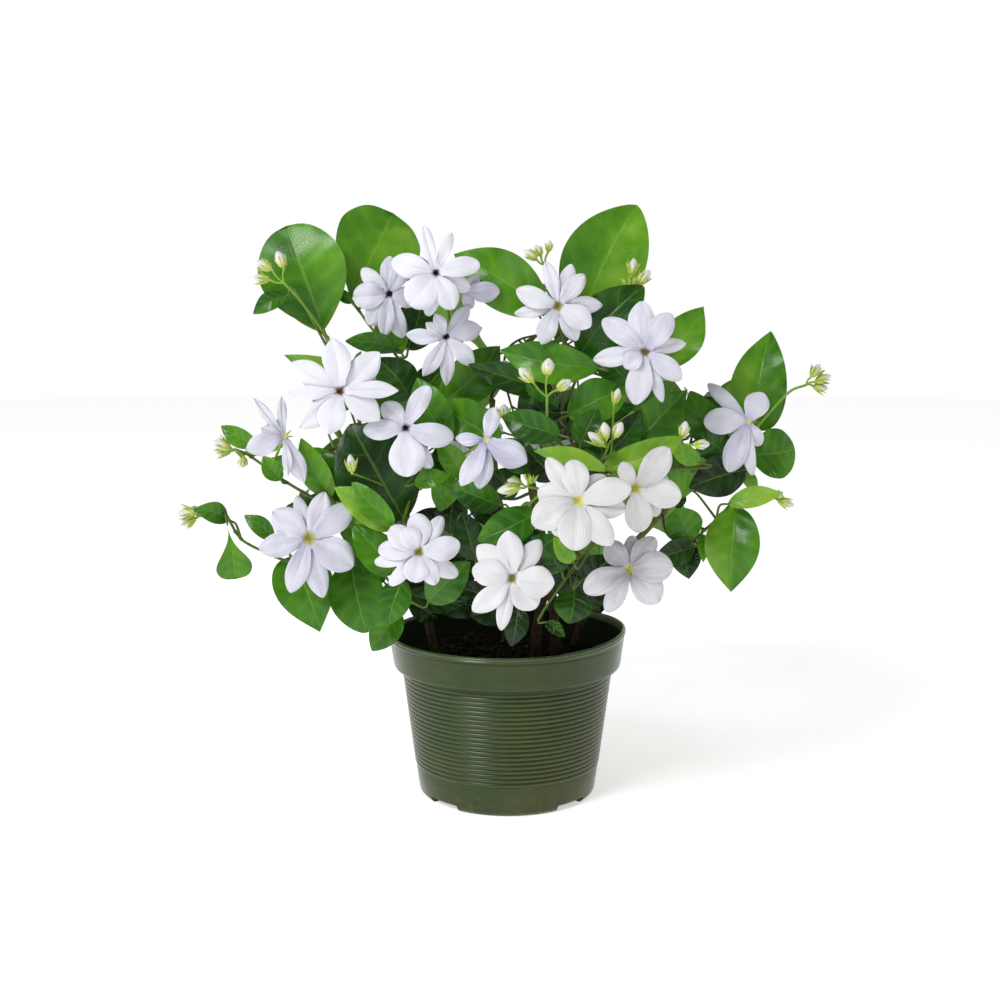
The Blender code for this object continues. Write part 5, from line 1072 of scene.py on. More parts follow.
# how pointed the petals are, where they are not rounded
POINTS = {"flower_03": 0.86, "flower_04": 0.84, "flower_05": 0.94, "flower_08": 0.66, "flower_09": 0.60, "flower_11": 0.60,
          "flower_07": 0.72, "flower_13": 0.62, "flower_12": 0.44, "flower_01": 0.46, "flower_06": 0.48}


def petal_half(width, t, tip=0.62):
    if t <= 0.0 or t >= 1.0:
        return 0.0
    w = math.sin(math.pi * t ** 1.30) ** (0.58 + (tip - 0.58) * t)
    return max(0.5 * width * w, 0.26 * width * (1.0 - t) ** 0.7 * min(1.0, 6.0 * t + 0.35))


def fine_flower(piece, name, k, tubes):
    c, f, u, v, rows, throat, shade = petals_3d(name, k)
    size, eye_tone, grey, warm, spoon, curl_mm = BLOOMS.get(name, (2.6, 0.65, 0.25, 0.15, 0.12, 1.4))
    rng = random.Random("%s %d" % (name, k))
    point_at = POINTS.get(name, 0.52)
    order = sorted(range(len(rows)), key=lambda i: rows[i][3])
    for rank, i in enumerate(order):
        a, length, width, dz = rows[i]
        e = u * math.cos(a) + v * math.sin(a)
        side = e.cross(f)
        low = -0.0018 * rank / len(rows)
        cup = spoon * rng.uniform(0.3, 1.5) * (1.0 - 0.70 * rank / len(rows))
        tilt = rng.uniform(0.03, 0.12) * (0.5 if len(rows) > 8 else 1.0)
        curl = curl_mm * 0.001 * rng.uniform(0.3, 1.3)
        sweep = rng.uniform(-0.035, 0.035) * length
        p1, p2 = rng.uniform(0, 6.3), rng.uniform(0, 6.3)
        ripple = (0.00038 + 0.00022 * warm) * rng.uniform(0.6, 1.5)
        keel = rng.uniform(0.00025, 0.00075)
        nib = point_at * rng.uniform(0.90, 1.15)
        start = 0.0008

        def point(t, s):
            h = petal_half(width, t, nib)
            q = abs(s)
            z = low - dz * t ** 1.5 - curl * t ** 6 + 0.0009 * math.sin(math.pi * min(1.0, 1.25 * t))
            z -= 0.0030 * math.exp(-t * length / 0.0013)
            z += cup * h * q * q * math.sin(math.pi * min(1.0, t + 0.08)) * (1.0 - 1.1 * max(0.0, t - 0.55))
            z -= 0.30 * h * q ** 5 * t
            z += tilt * h * s * (1.0 - 0.6 * t)
            z += ripple * math.sin(9.0 * t + p1 + 2.0 * s) * (0.3 + q)
            z += ripple * 0.8 * math.sin(5.0 * s + p2) * t
            z -= keel * math.exp(-(s / 0.22) ** 2) * (1.0 - t) * min(1.0, 4.0 * t)
            z += 0.00022 * math.cos(7.0 * math.pi * s + p1) * (1.0 - q) * math.sin(math.pi * t)
            return (c + e * (start + (length - start) * t) + side * (h * s + sweep * math.sin(math.pi * t))
                    + f * z)

        thick = lambda t, s: (0.00016 * (1.0 - abs(s) ** 6), 0.00016 * (1.0 - abs(s) ** 6))
        steps = [0.01] + [0.04 + 0.90 * (j / 15.0) for j in range(16)] + [0.965, 0.985, 0.996]
        verts, faces, uv, under = sheet_shell(point, thick, f, steps, (-1.0, -0.88, -0.62, -0.34, -0.12, 0.0, 0.12, 0.34, 0.62, 0.88, 1.0),
                                              point(0.0, 0.0), point(1.0, 0.0))
        reach = [max(0.0, 1.0 - (start + t[1] * length) / (size * 0.001 * 1.9)) for t in uv]
        # painted shade on this petal: the flower's grey-lilac share, varied a little
        tone = grey * rng.uniform(0.6, 1.3)
        piece.add(verts, faces, 0, uv=uv, under=under, eye=reach, throat=eye_tone, shade=tone, warm=warm, seed=rng.random())
    # throat: a funnel open to the front
    deep = max(0.0, 1.0 - eye_tone / 0.4)
    ring = [(0.0016, -0.0068), (0.0018, -0.0034), (0.0019, -0.0022), (0.0016, -0.0020),
            (0.0012, -0.0022 - 0.0012 * deep), (0.0007, -0.0025 - 0.0029 * deep)]
    sides = 14
    verts = [c + f * -0.0074] + [c + u * (r * math.cos(2 * math.pi * j / sides)) + v * (r * math.sin(2 * math.pi * j / sides)) + f * z
                                 for r, z in ring for j in range(sides)] + [c + f * (-0.0027 - 0.0037 * deep)]
    faces = [(0, 1 + (j + 1) % sides, 1 + j) for j in range(sides)]
    for i in range(len(ring) - 1):
        for j in range(sides):
            j2 = (j + 1) % sides
            faces.append((1 + i * sides + j, 1 + i * sides + j2, 1 + (i + 1) * sides + j2, 1 + (i + 1) * sides + j))
    last = 1 + (len(ring) - 1) * sides
    faces += [(last + j, last + (j + 1) % sides, len(verts) - 1) for j in range(sides)]
    piece.add(verts, faces, 1, throat=eye_tone, eye=1.0)
    # corolla tube, calyx with its thin lobes, and stalk
    path, rad = tubes
    neck = [path[0] - f * 0.0062, path[1] - f * 0.0010, path[2]]
    # the corolla tube carries a little painted shade
    fine_tube(piece, neck, [0.0013, 0.0012, 0.0014], 10, 0, n=10, eye=0.25, throat=0.8, shade=0.2, warm=warm)
    calyx = path[2]
    cup = [calyx + f * 0.0022, calyx + f * 0.0006, calyx - f * 0.0012, path[3]]
    fine_tube(piece, cup, [0.0018, 0.0021, 0.0018, 0.0009], 10, 2, n=10)
    for j in range(7):
        w = 2 * math.pi * j / 7 + rng.uniform(-0.2, 0.2)
        out = u * math.cos(w) + v * math.sin(w)
        spike(piece, calyx + f * 0.0012 + out * 0.0016, f + out * 0.45, rng.uniform(0.0050, 0.0068), 0.0010, 2, bend=out)


def flower_piece(name, stems, radii, flowers):
    piece = Piece(PETAL, THROAT, CALYX, STEM)
    tubes, key = flowers[name]
    if name in FLOWERS:
        path, rad = tubes[0]
        fine_flower(piece, name, 0, (path, rad))
        foot = parent_axis(stems, radii, key, path[-1])
        stalk = path[3:] + [foot]
        fine_tube(piece, stalk, [0.0010] + [0.00075] * (len(stalk) - 2) + [0.0008], 8, 3, n=5 * len(stalk), age=0.1)
    else:
        common = tubes[0]
        foot = parent_axis(stems, radii, key, common[0][0])
        fine_tube(piece, [foot] + common[0], [0.0010] + common[1], 8, 3, n=24, age=0.3)
        for k, (path, rad) in enumerate(tubes[1:]):
            fine_flower(piece, name, k, (path, rad))
            fork = mm(*FAR_FLOWERS[name][0])
            fine_tube(piece, path[3:] + [fork], [0.0010, 0.0008, 0.0008, 0.0009], 8, 3, n=20, age=0.1)
    return piece.make("fine_" + name, name)


# ---------------------------------------------------------------- buds
# extra single buds on the shoots: foot on the stem, base, tip, width, opening
EXTRA_BUDS = {
    "shoot_centre": [((530, 424, -60), (504, 419, -78), (504, 404, -78), 11, 0.5)],
    "shoot_mid_right": [((604, 440, -96), (614, 404, -98), (619, 388, -98), 8, 0.3)],
    "shoot_left_centre": [((410, 500, -74), (352, 473, -106), (350, 454, -106), 9, 0.3)],
}


def fine_bud(piece, base, tip, width, opening, name, petal, calyx):
    """One bud: twisted white petals in a green cup with thin lobes."""
    rng = random.Random("%s %.5f" % (name, base.x))
    d = tip - base
    length, axis = d.length, d.normalized()
    a = axis.cross(Vector((0.2, 0.9, 0.3))).normalized()
    b = axis.cross(a)
    body = opening < 0.9
    shape = ((0.05, 0.15), (0.12, 0.30), (0.24, 0.41), (0.38, 0.47), (0.52, 0.49), (0.66, 0.44), (0.78, 0.36),
             (0.88, 0.25), (0.95, 0.14), (0.99, 0.05))
    if body:
        sides = 15
        verts, uv = [], []
        for t, r in shape:
            for k in range(sides):
                w = 2 * math.pi * k / sides
                rr = r * width * (1.0 + 0.10 * math.sin(3.0 * w + 5.0 * t) * math.sin(math.pi * min(1.0, t * 1.2)))
                verts.append(base + axis * (length * t) + a * (rr * math.cos(w)) + b * (rr * math.sin(w)))
                uv.append((k / sides, t))
        n = len(shape)
        faces = [(i * sides + k, i * sides + (k + 1) % sides, (i + 1) * sides + (k + 1) % sides, (i + 1) * sides + k)
                 for i in range(n - 1) for k in range(sides)]
        faces += [tuple(reversed(range(sides))), tuple(range((n - 1) * sides, n * sides))]
        # bud petals carry painted grey-lilac shade, more as the bud opens
        piece.add(verts, faces, petal, uv=uv, eye=[max(0.0, 0.85 - 1.35 * p[1]) for p in uv], throat=0.85,
                  shade=0.25 + 0.4 * opening, warm=1.0)
    cup = width * (0.20 if body else 0.30)
    fine_tube(piece, [base - axis * (0.05 * length), base + axis * (0.04 * length), base + axis * (0.13 * length)],
              [0.0007, cup * 0.9, cup * 1.25], 10, calyx, n=8)
    lobes = 7
    for j in range(lobes):
        w = 2 * math.pi * (j + rng.uniform(-0.2, 0.2)) / lobes
        out = a * math.cos(w) + b * math.sin(w)
        lean = (0.42 if body else 0.30) + 0.30 * opening
        reach = length * (0.58 + 0.38 * opening) * rng.uniform(0.85, 1.12)
        foot = base + axis * (0.10 * length) + out * (cup * 1.1)
        spike(piece, foot, axis + out * lean, reach, 0.0014, calyx, bend=(-out * 0.35 if body else out * 0.2))


def buds_piece(name, stems, radii, buds):
    piece = Piece(PETAL, CALYX, STEM)
    tubes, shapes = buds[name]
    path, rad = tubes[0]
    d, key = min(((stems[k][nearest(stems[k], path[0])] - path[0]).length, k) for k in stems)
    foot = parent_axis(stems, radii, key, path[0])
    fine_tube(piece, [foot] + path, [0.0008] * (len(path) + 1), 8, 2, n=6 * len(path), age=0.15)
    fork = path[-1]
    for base, tip, width, opening in shapes:
        mid = fork.lerp(base, 0.5) + (base - fork).cross(AHEAD).normalized() * 0.0006
        fine_tube(piece, [fork, mid, base], [0.0006, 0.00055, 0.0007], 8, 2, n=10, age=0.05)
        fine_bud(piece, base, tip, width, opening, name, 0, 1)
    return piece.make("fine_" + name, name)


# ---------------------------------------------------------------- canes
def fine_cane(name, stems, radii):
    piece = Piece(BARK)
    path, rad = stems[name], radii[name]
    n = 60
    line, r = smooth(path, n), spread(rad, n)
    feet = [stems[s][0] for s in list(SHOOTS) + list(FAR_SHOOTS) if (SHOOTS.get(s) or FAR_SHOOTS[s])[0] == name]
    sides = 16
    for k, p in enumerate(line):
        for foot in feet:
            r[k] *= 1.0 + 0.22 * math.exp(-((foot - p).length / 0.0045) ** 2)
        r[k] *= 1.0 + 0.07 * noise.noise(p * 90.0)
        if k % 7 == 3:
            r[k] *= 1.10
    line = [line[0]] + line + [line[-1] + (line[-1] - line[-2]).normalized() * 0.0012]
    r = [r[0] * 0.6] + r + [r[-1] * 0.45]
    verts, faces = tube(line, r, sides)
    out = []
    for i, p in enumerate(verts):
        c = line[i // sides]
        d = (p - c)
        out.append(p + d.normalized() * (0.00022 * noise.noise(Vector((p.x * 700, p.y * 700, p.z * 160)))))
    age = [1.0 - (i // sides) / (len(line) - 1) for i in range(len(verts))]
    piece.add(out, faces, 0, age=age)
    return piece.make("fine_" + name, name)


# ---------------------------------------------------------------- pot and mix
def arc(points, steps=4):
    """Profile with its corners rounded a little."""
    out = [points[0]]
    for i in range(1, len(points) - 1):
        (x0, y0), (x1, y1), (x2, y2) = points[i - 1], points[i], points[i + 1]
        la, lb = math.hypot(x0 - x1, y0 - y1), math.hypot(x2 - x1, y2 - y1)
        cut = min(0.0007, 0.3 * la, 0.3 * lb)
        ax, ay = x1 + (x0 - x1) * cut / la, y1 + (y0 - y1) * cut / la
        bx, by = x1 + (x2 - x1) * cut / lb, y1 + (y2 - y1) * cut / lb
        for k in range(steps):
            t = k / (steps - 1)
            out.append(((1 - t) ** 2 * ax + 2 * t * (1 - t) * x1 + t * t * bx, (1 - t) ** 2 * ay + 2 * t * (1 - t) * y1 + t * t * by))
    return out + [points[-1]]


def fine_pot():
    band_low = POT_H - BAND_H
    taper = (WALL_TOP_R - FOOT_R) / (band_low - 0.003)
    outer = lambda z: FOOT_R + taper * (z - 0.003)
    inner = lambda z: outer(z) - WALL_T
    foot = [(0.0, 0.0012), (0.0300, 0.0012), (FOOT_R - 0.0070, 0.0010), (FOOT_R - 0.0050, 0.0), (FOOT_R - 0.0020, 0.0), (FOOT_R, 0.0022),
            (outer(0.0175) + 0.0002, 0.0175)]
    profile = arc(foot)
    # raised hoops down the wall
    hoops, low, high = 21, 0.0190, band_low - 0.0022
    pitch = (high - low) / hoops
    for k in range(hoops):
        for q, h in ((0.0, 0.0), (0.10, 0.00026), (0.24, 0.00062), (0.44, 0.00080), (0.64, 0.00072), (0.84, 0.00036)):
            z = low + pitch * (k + q)
            profile.append((outer(z) + h - 0.00022, z))
    rest = [(outer(high), high), (WALL_TOP_R, band_low - 0.0008), (BAND_LOW_R - 0.0002, band_low + 0.0004), (BAND_LOW_R + 0.0004, band_low + 0.0016),
            (BAND_TOP_R, POT_H - RIM_LIP - 0.0010), (RIM_R - 0.0004, POT_H - RIM_LIP - 0.0004), (RIM_R, POT_H - RIM_LIP + 0.0004),
            (RIM_R - 0.0005, POT_H - 0.0019), (RIM_R + 0.0000, POT_H - 0.0012), (RIM_R - 0.0004, POT_H - 0.0004), (RIM_R - 0.0012, POT_H), (RIM_R - 0.0022, POT_H - 0.0001),
            (BAND_TOP_R - 0.0018, POT_H - RIM_LIP), (BAND_LOW_R - 0.0018, band_low + 0.0030), (inner(band_low + 0.0022), band_low + 0.0022),
            (inner(FLOOR_T + 0.0030), FLOOR_T + 0.0030), (inner(0.003) - 0.0030, FLOOR_T), (0.0, FLOOR_T)]
    profile += arc(rest, 3)
    turns = 144
    flat = [(r, z) for r, z in profile if r > 1e-6]
    verts, faces = [Vector((0.0, 0.0, profile[0][1]))], []
    crest = max(i for i, (r, z) in enumerate(flat) if z > POT_H - 0.0006)
    # the inside of the rim is marked for the pot material's painted shade
    inside_painted_shade = [0.0]
    for i, (r, z) in enumerate(flat):
        for k in range(turns):
            w = 2 * math.pi * k / turns
            rr = r
            if 0.003 < z < 0.0185 and r > outer(z) - 0.0006:
                rr += 0.00010 * math.sin(30 * w) * math.sin(math.pi * (z - 0.003) / 0.0155)
            lift = rim_rise(w) * min(1.0, max(0.0, (z - band_low - 0.0008) / (BAND_H - RIM_LIP - 0.0012)))
            verts.append(Vector((rr * math.cos(w), rr * math.sin(w), z + lift)))
            inside_painted_shade.append(1.0 if i > crest else 0.0)
    n = len(flat)
    verts.append(Vector((0.0, 0.0, profile[-1][1])))
    faces += [(0, 1 + (k + 1) % turns, 1 + k) for k in range(turns)]
    for i in range(n - 1):
        for k in range(turns):
            k2 = (k + 1) % turns
            a, b = 1 + i * turns, 1 + (i + 1) * turns
            faces.append((a + k, a + k2, b + k2, b + k))
    last = 1 + (n - 1) * turns
    faces += [(last + k, last + (k + 1) % turns, len(verts) - 1) for k in range(turns)]
    piece = Piece(POT)
    piece.add(verts, faces, 0, under=inside_painted_shade + [1.0])
    ob = piece.make("fine_pot", "pot", sharp=38.0)
    # drain notches under the foot
    cutters = []
    for k in range(4):
        w = math.pi / 4 + k * math.pi / 2
        half = math.radians(12.0)
        verts, faces = [], []
        steps = 10
        for z, narrow in ((-0.0030, 1.0), (0.0030, 1.0), (0.0040, 0.94)):
            for r in (0.0475, 0.0640):
                for i in range(steps + 1):
                    q = half * narrow * (2.0 * i / steps - 1.0)
                    verts.append(Vector((r * math.cos(w + q), r * math.sin(w + q), z)))
        m = steps + 1
        for level in range(2):
            a, b = level * 2 * m, (level + 1) * 2 * m
            loop = list(range(0, m)) + [m + i for i in reversed(range(m))]
            for i in range(len(loop)):
                p, q = loop[i], loop[(i + 1) % len(loop)]
                faces.append((a + q, a + p, b + p, b + q))
        for i in range(steps):
            faces.append((i, i + 1, m + i + 1, m + i))
            t = 4 * m
            faces.append((t + i + 1, t + i, t + m + i, t + m + i + 1))
        mesh = bpy.data.meshes.new("notch")
        mesh.from_pydata([p[:] for p in verts], [], faces)
        mesh.update()
        cutter = bpy.data.objects.new("notch", mesh)
        bpy.context.scene.collection.objects.link(cutter)
        cutters.append(cutter)
        mod = ob.modifiers.new("notch", "BOOLEAN")
        mod.operation, mod.solver, mod.object = "DIFFERENCE", "EXACT", cutter
        dg = bpy.context.evaluated_depsgraph_get()
        cut = bpy.data.meshes.new_from_object(ob.evaluated_get(dg))
        ob.modifiers.clear()
        ob.data = cut
        bpy.data.objects.remove(cutter)
    # the wall's inner face is matt, and the pot material paints it dark as shade
    ob.data.materials.append(POT_INSIDE)
    for p in ob.data.polygons:
        out = Vector((p.center.x, p.center.y, 0.0))
        if FLOOR_T * 0.8 < p.center.z < POT_H - 0.0016 and out.length > 0.002 and p.normal.dot(out.normalized()) < -0.2:
            p.material_index = 1
    return ob


def fine_mix():
    band_low = POT_H - BAND_H
    taper = (WALL_TOP_R - FOOT_R) / (band_low - 0.003)
    edge = FOOT_R + taper * (SOIL_TOP - 0.003) - WALL_T
    edge = min(edge, BAND_LOW_R - 0.0018)
    top, low = SOIL_TOP, SOIL_TOP - 0.012
    rings, turns = 56, 150
    verts, faces = [Vector((0, 0, top + 0.002))], []

    def level(x, y, r):
        p = Vector((x, y, 0.0))
        z = 0.0016 * noise.noise(p * 60.0) + 0.0013 * noise.noise(p * 170.0 + Vector((3, 1, 2)))
        z += 0.0009 * abs(noise.noise(p * 420.0))
        z += 0.0006 * noise.noise(p * 900.0)
        return top + 0.0015 * (1.0 - (r / edge) ** 2) + z

    for i in range(1, rings + 1):
        r = (edge - 0.0010) * i / rings
        for k in range(turns):
            w = 2 * math.pi * (k + 0.5 * (i % 2)) / turns
            x, y = r * math.cos(w), r * math.sin(w)
            verts.append(Vector((x, y, level(x, y, r))))
    for r, z in ((edge - 0.0006, low + 0.002), (edge - 0.0030, low)):
        for k in range(turns):
            w = 2 * math.pi * (k + 0.5 * (rings % 2)) / turns
            verts.append(Vector((r * math.cos(w), r * math.sin(w), z)))
    verts.append(Vector((0, 0, low)))
    faces += [(0, 1 + k, 1 + (k + 1) % turns) for k in range(turns)]
    for i in range(rings + 1):
        for k in range(turns):
            k2 = (k + 1) % turns
            a, b = 1 + i * turns, 1 + (i + 1) * turns
            faces.append((a + k, b + k, b + k2, a + k2))
    last = 1 + (rings + 1) * turns
    faces += [(last + k, len(verts) - 1, last + (k + 1) % turns) for k in range(turns)]
    piece = Piece(MIX, CHIP)
    piece.add(verts, faces, 0)
    # bits of bark, wood fibre and a few white grains lie on it
    rng = random.Random(41)
    for i in range(820):
        r, w = (edge - 0.004) * math.sqrt(rng.random()), rng.uniform(0, 2 * math.pi)
        x, y = r * math.cos(w), r * math.sin(w)
        kind = rng.random()
        if kind < 0.72:
            size = (rng.uniform(0.0010, 0.0034), rng.uniform(0.0007, 0.0020), rng.uniform(0.0004, 0.0012))
            age = rng.uniform(0.0, 0.55)
        elif kind < 0.97:
            size = (rng.uniform(0.0030, 0.0075), rng.uniform(0.0004, 0.0009), rng.uniform(0.0003, 0.0006))
            age = rng.uniform(0.3, 0.8)
        else:
            s = rng.uniform(0.0006, 0.0013)
            size, age = (s, s * 0.9, s * 0.8), 0.85
        c = Vector((x, y, level(x, y, r) + size[2] * 0.4))
        turn = Matrix.Rotation(rng.uniform(0, 6.3), 3, "Z") @ Matrix.Rotation(rng.uniform(-0.5, 0.5), 3, "X") @ Matrix.Rotation(rng.uniform(-0.4, 0.4), 3, "Y")
        cube = []
        for a, b, d in ((-1, -1, -1), (1, -1, -1), (1, 1, -1), (-1, 1, -1), (-1, -1, 1), (1, -1, 1), (1, 1, 1), (-1, 1, 1)):
            q = Vector((a * size[0] * rng.uniform(0.6, 1.1), b * size[1] * rng.uniform(0.6, 1.1), d * size[2] * rng.uniform(0.6, 1.1)))
            cube.append(c + turn @ q)
        box = [(3, 2, 1, 0), (4, 5, 6, 7), (0, 1, 5, 4), (1, 2, 6, 5), (2, 3, 7, 6), (3, 0, 4, 7)]
        piece.add(cube, box, 1, age=age, seed=rng.random())
    return piece.make("fine_potting_mix", "potting_mix", sharp=30.0)


# ---------------------------------------------------------------- materials
def linear(r, g, b):
    """Linear colour of an sRGB one given in 0 to 255."""
    f = lambda x: x / 12.92 if x <= 0.04045 else ((x + 0.055) / 1.055) ** 2.4
    return (f(r / 255.0), f(g / 255.0), f(b / 255.0), 1.0)


class Graph:
    """Short way to write a material's nodes."""

    def __init__(self, name, **sockets):
        self.mat = bpy.data.materials.new(name)
        self.mat.use_nodes = True
        self.tree = self.mat.node_tree
        self.shader = self.tree.nodes["Principled BSDF"]
        for key, value in sockets.items():
            self.shader.inputs[key.replace("_", " ")].default_value = value

    def node(self, kind, **settings):
        n = self.tree.nodes.new(kind)
        for key, value in settings.items():
            setattr(n, key, value)
        return n

    def put(self, socket, value):
        if isinstance(value, bpy.types.NodeSocket):
            self.tree.links.new(value, socket)
        else:
            socket.default_value = value

    def math(self, op, a, b=0.0, clamp=False):
        n = self.node("ShaderNodeMath", operation=op, use_clamp=clamp)
        self.put(n.inputs[0], a)
        self.put(n.inputs[1], b)
        return n.outputs[0]

    def range(self, value, a, b, c=0.0, d=1.0, smooth=True):
        n = self.node("ShaderNodeMapRange", interpolation_type="SMOOTHSTEP" if smooth else "LINEAR")
        for i, x in enumerate((value, a, b, c, d)):
            self.put(n.inputs[i], x)
        return n.outputs[0]

    def mix(self, factor, a, b):
        n = self.node("ShaderNodeMix", data_type="RGBA")
        self.put(n.inputs[0], factor)
        self.put(n.inputs[6], a)
        self.put(n.inputs[7], b)
        return n.outputs[2]

    def tint(self, name):
        return self.node("ShaderNodeAttribute", attribute_name=name).outputs["Fac"]

    def place(self):
        return self.node("ShaderNodeTexCoord").outputs["Object"]

    def surface(self):
        n = self.node("ShaderNodeUVMap", uv_map="surface")
        s = self.node("ShaderNodeSeparateXYZ")
        self.put(s.inputs[0], n.outputs[0])
        return n.outputs[0], s.outputs[0], s.outputs[1]

    def noise(self, where, scale, detail=2.0, rough=0.5, out="Fac"):
        n = self.node("ShaderNodeTexNoise")
        self.put(n.inputs["Vector"], where)
        for key, value in (("Scale", scale), ("Detail", detail), ("Roughness", rough)):
            n.inputs[key].default_value = value
        return n.outputs[out]

    def stretch(self, where, x, y, z):
        n = self.node("ShaderNodeMapping")
        self.put(n.inputs["Vector"], where)
        n.inputs["Scale"].default_value = (x, y, z)
        return n.outputs[0]

    def cells(self, where, scale, feature="DISTANCE_TO_EDGE", out="Distance"):
        n = self.node("ShaderNodeTexVoronoi", feature=feature)
        self.put(n.inputs["Vector"], where)
        n.inputs["Scale"].default_value = scale
        return n.outputs[out]

    def ramp(self, value, stops):
        n = self.node("ShaderNodeValToRGB")
        line = n.color_ramp
        while len(line.elements) < len(stops):
            line.elements.new(0.5)
        for e, (p, colour) in zip(line.elements, stops):
            e.position, e.color = p, colour
        self.put(n.inputs[0], value)
        return n.outputs[0]

    def bump(self, height, strength, distance):
        n = self.node("ShaderNodeBump")
        n.inputs["Strength"].default_value = strength
        n.inputs["Distance"].default_value = distance
        self.put(n.inputs["Height"], height)
        self.put(self.shader.inputs["Normal"], n.outputs[0])

    def colour(self, value):
        self.put(self.shader.inputs["Base Color"], value)

    def rough(self, value):
        self.put(self.shader.inputs["Roughness"], value)


def leaf_material():
    g = Graph("jasmine_leaf", IOR=1.45, Specular_IOR_Level=0.33)
    uv, x, t = g.surface()
    where, seed, under = g.place(), g.tint("seed"), g.tint("under")
    warp = g.noise(where, 90.0, 2.0)
    signed = g.math("SUBTRACT", g.math("MULTIPLY", x, 2.0), 1.0)
    s = g.math("ABSOLUTE", signed)
    # side veins leave the midrib in turn and sweep towards the tip
    v = g.math("SUBTRACT", t, g.math("MULTIPLY", g.math("POWER", s, 1.2), 0.20))
    v = g.math("ADD", g.math("MULTIPLY", v, 5.0), g.math("MULTIPLY", g.math("LESS_THAN", signed, 0.0), 0.5))
    v = g.math("ADD", v, g.math("MULTIPLY", warp, 0.22))
    f = g.math("FRACT", v)
    gap = g.math("SUBTRACT", 0.5, g.math("ABSOLUTE", g.math("SUBTRACT", f, 0.5)))
    vein = g.math("MULTIPLY", g.range(gap, 0.0, 0.075, 1.0, 0.0), g.range(s, 0.55, 1.0, 1.0, 0.0))
    swell = g.range(gap, 0.0, 0.42)
    rib = g.range(s, 0.012, 0.060, 1.0, 0.0)
    net = g.cells(where, 520.0)
    fine = g.range(net, 0.0, 0.06, 1.0, 0.0)
    cloud = g.noise(where, 38.0, 3.0, 0.6)
    # the tone tint carries the leaf's own green and painted light and shade
    tint = g.tint("tone")
    tone = g.math("ADD", tint, g.math("MULTIPLY", g.math("MULTIPLY", g.math("SUBTRACT", cloud, 0.5), 0.95), g.math("ADD", tint, 0.25)))
    tone = g.math("ADD", tone, g.math("MULTIPLY", g.math("SUBTRACT", swell, 0.5), -0.05))
    tone = g.math("ADD", tone, g.math("MULTIPLY", g.math("SUBTRACT", seed, 0.5), 0.10), clamp=True)
    base = g.ramp(tone, [(0.0, linear(7, 27, 1)), (0.14, linear(18, 56, 3)), (0.32, linear(42, 96, 6)), (0.60, linear(78, 134, 18)), (1.0, linear(130, 170, 50))])
    base = g.mix(g.math("MULTIPLY", fine, 0.05), base, linear(140, 176, 84))
    base = g.mix(g.math("MULTIPLY", vein, 0.07), base, linear(126, 168, 66))
    base = g.mix(g.math("MULTIPLY", rib, 0.24), base, linear(138, 176, 76))
    base = g.mix(g.math("MULTIPLY", under, 0.40), base, linear(138, 176, 78))
    g.colour(base)
    gloss = g.math("ADD", g.range(cloud, 0.3, 0.7, 0.21, 0.33), g.math("MULTIPLY", under, 0.22))
    g.rough(g.math("ADD", gloss, g.math("MULTIPLY", vein, 0.08), clamp=True))
    height = g.math("ADD", g.math("MULTIPLY", swell, 0.34), g.math("MULTIPLY", fine, -0.06))
    height = g.math("SUBTRACT", height, g.math("MULTIPLY", rib, 0.5))
    g.bump(g.math("ADD", height, g.math("MULTIPLY", g.noise(where, 700.0, 2.0), 0.10)), 0.55, 0.0006)
    return g.mat


def stem_material():
    g = Graph("jasmine_stem", IOR=1.45, Specular_IOR_Level=0.4)
    where, age = g.place(), g.tint("age")
    n = g.noise(where, 260.0, 3.0, 0.6)
    a = g.math("ADD", age, g.math("MULTIPLY", g.math("SUBTRACT", n, 0.5), 0.35), clamp=True)
    g.colour(g.ramp(a, [(0.0, linear(124, 160, 52)), (0.35, linear(84, 116, 34)), (0.70, linear(82, 86, 40)), (1.0, linear(84, 66, 40))]))
    g.rough(g.range(n, 0.3, 0.7, 0.42, 0.60))
    g.bump(g.noise(g.stretch(where, 1.0, 1.0, 0.3), 900.0, 2.0), 0.35, 0.0003)
    return g.mat


def calyx_material():
    g = Graph("jasmine_calyx", IOR=1.45, Specular_IOR_Level=0.35)
    where = g.place()
    n = g.noise(where, 420.0, 3.0, 0.6)
    g.colour(g.ramp(n, [(0.3, linear(120, 150, 50)), (0.55, linear(164, 186, 74)), (0.8, linear(204, 208, 116))]))
    g.rough(g.range(n, 0.3, 0.7, 0.45, 0.62))
    g.bump(g.noise(where, 1500.0, 2.0), 0.3, 0.0002)
    return g.mat


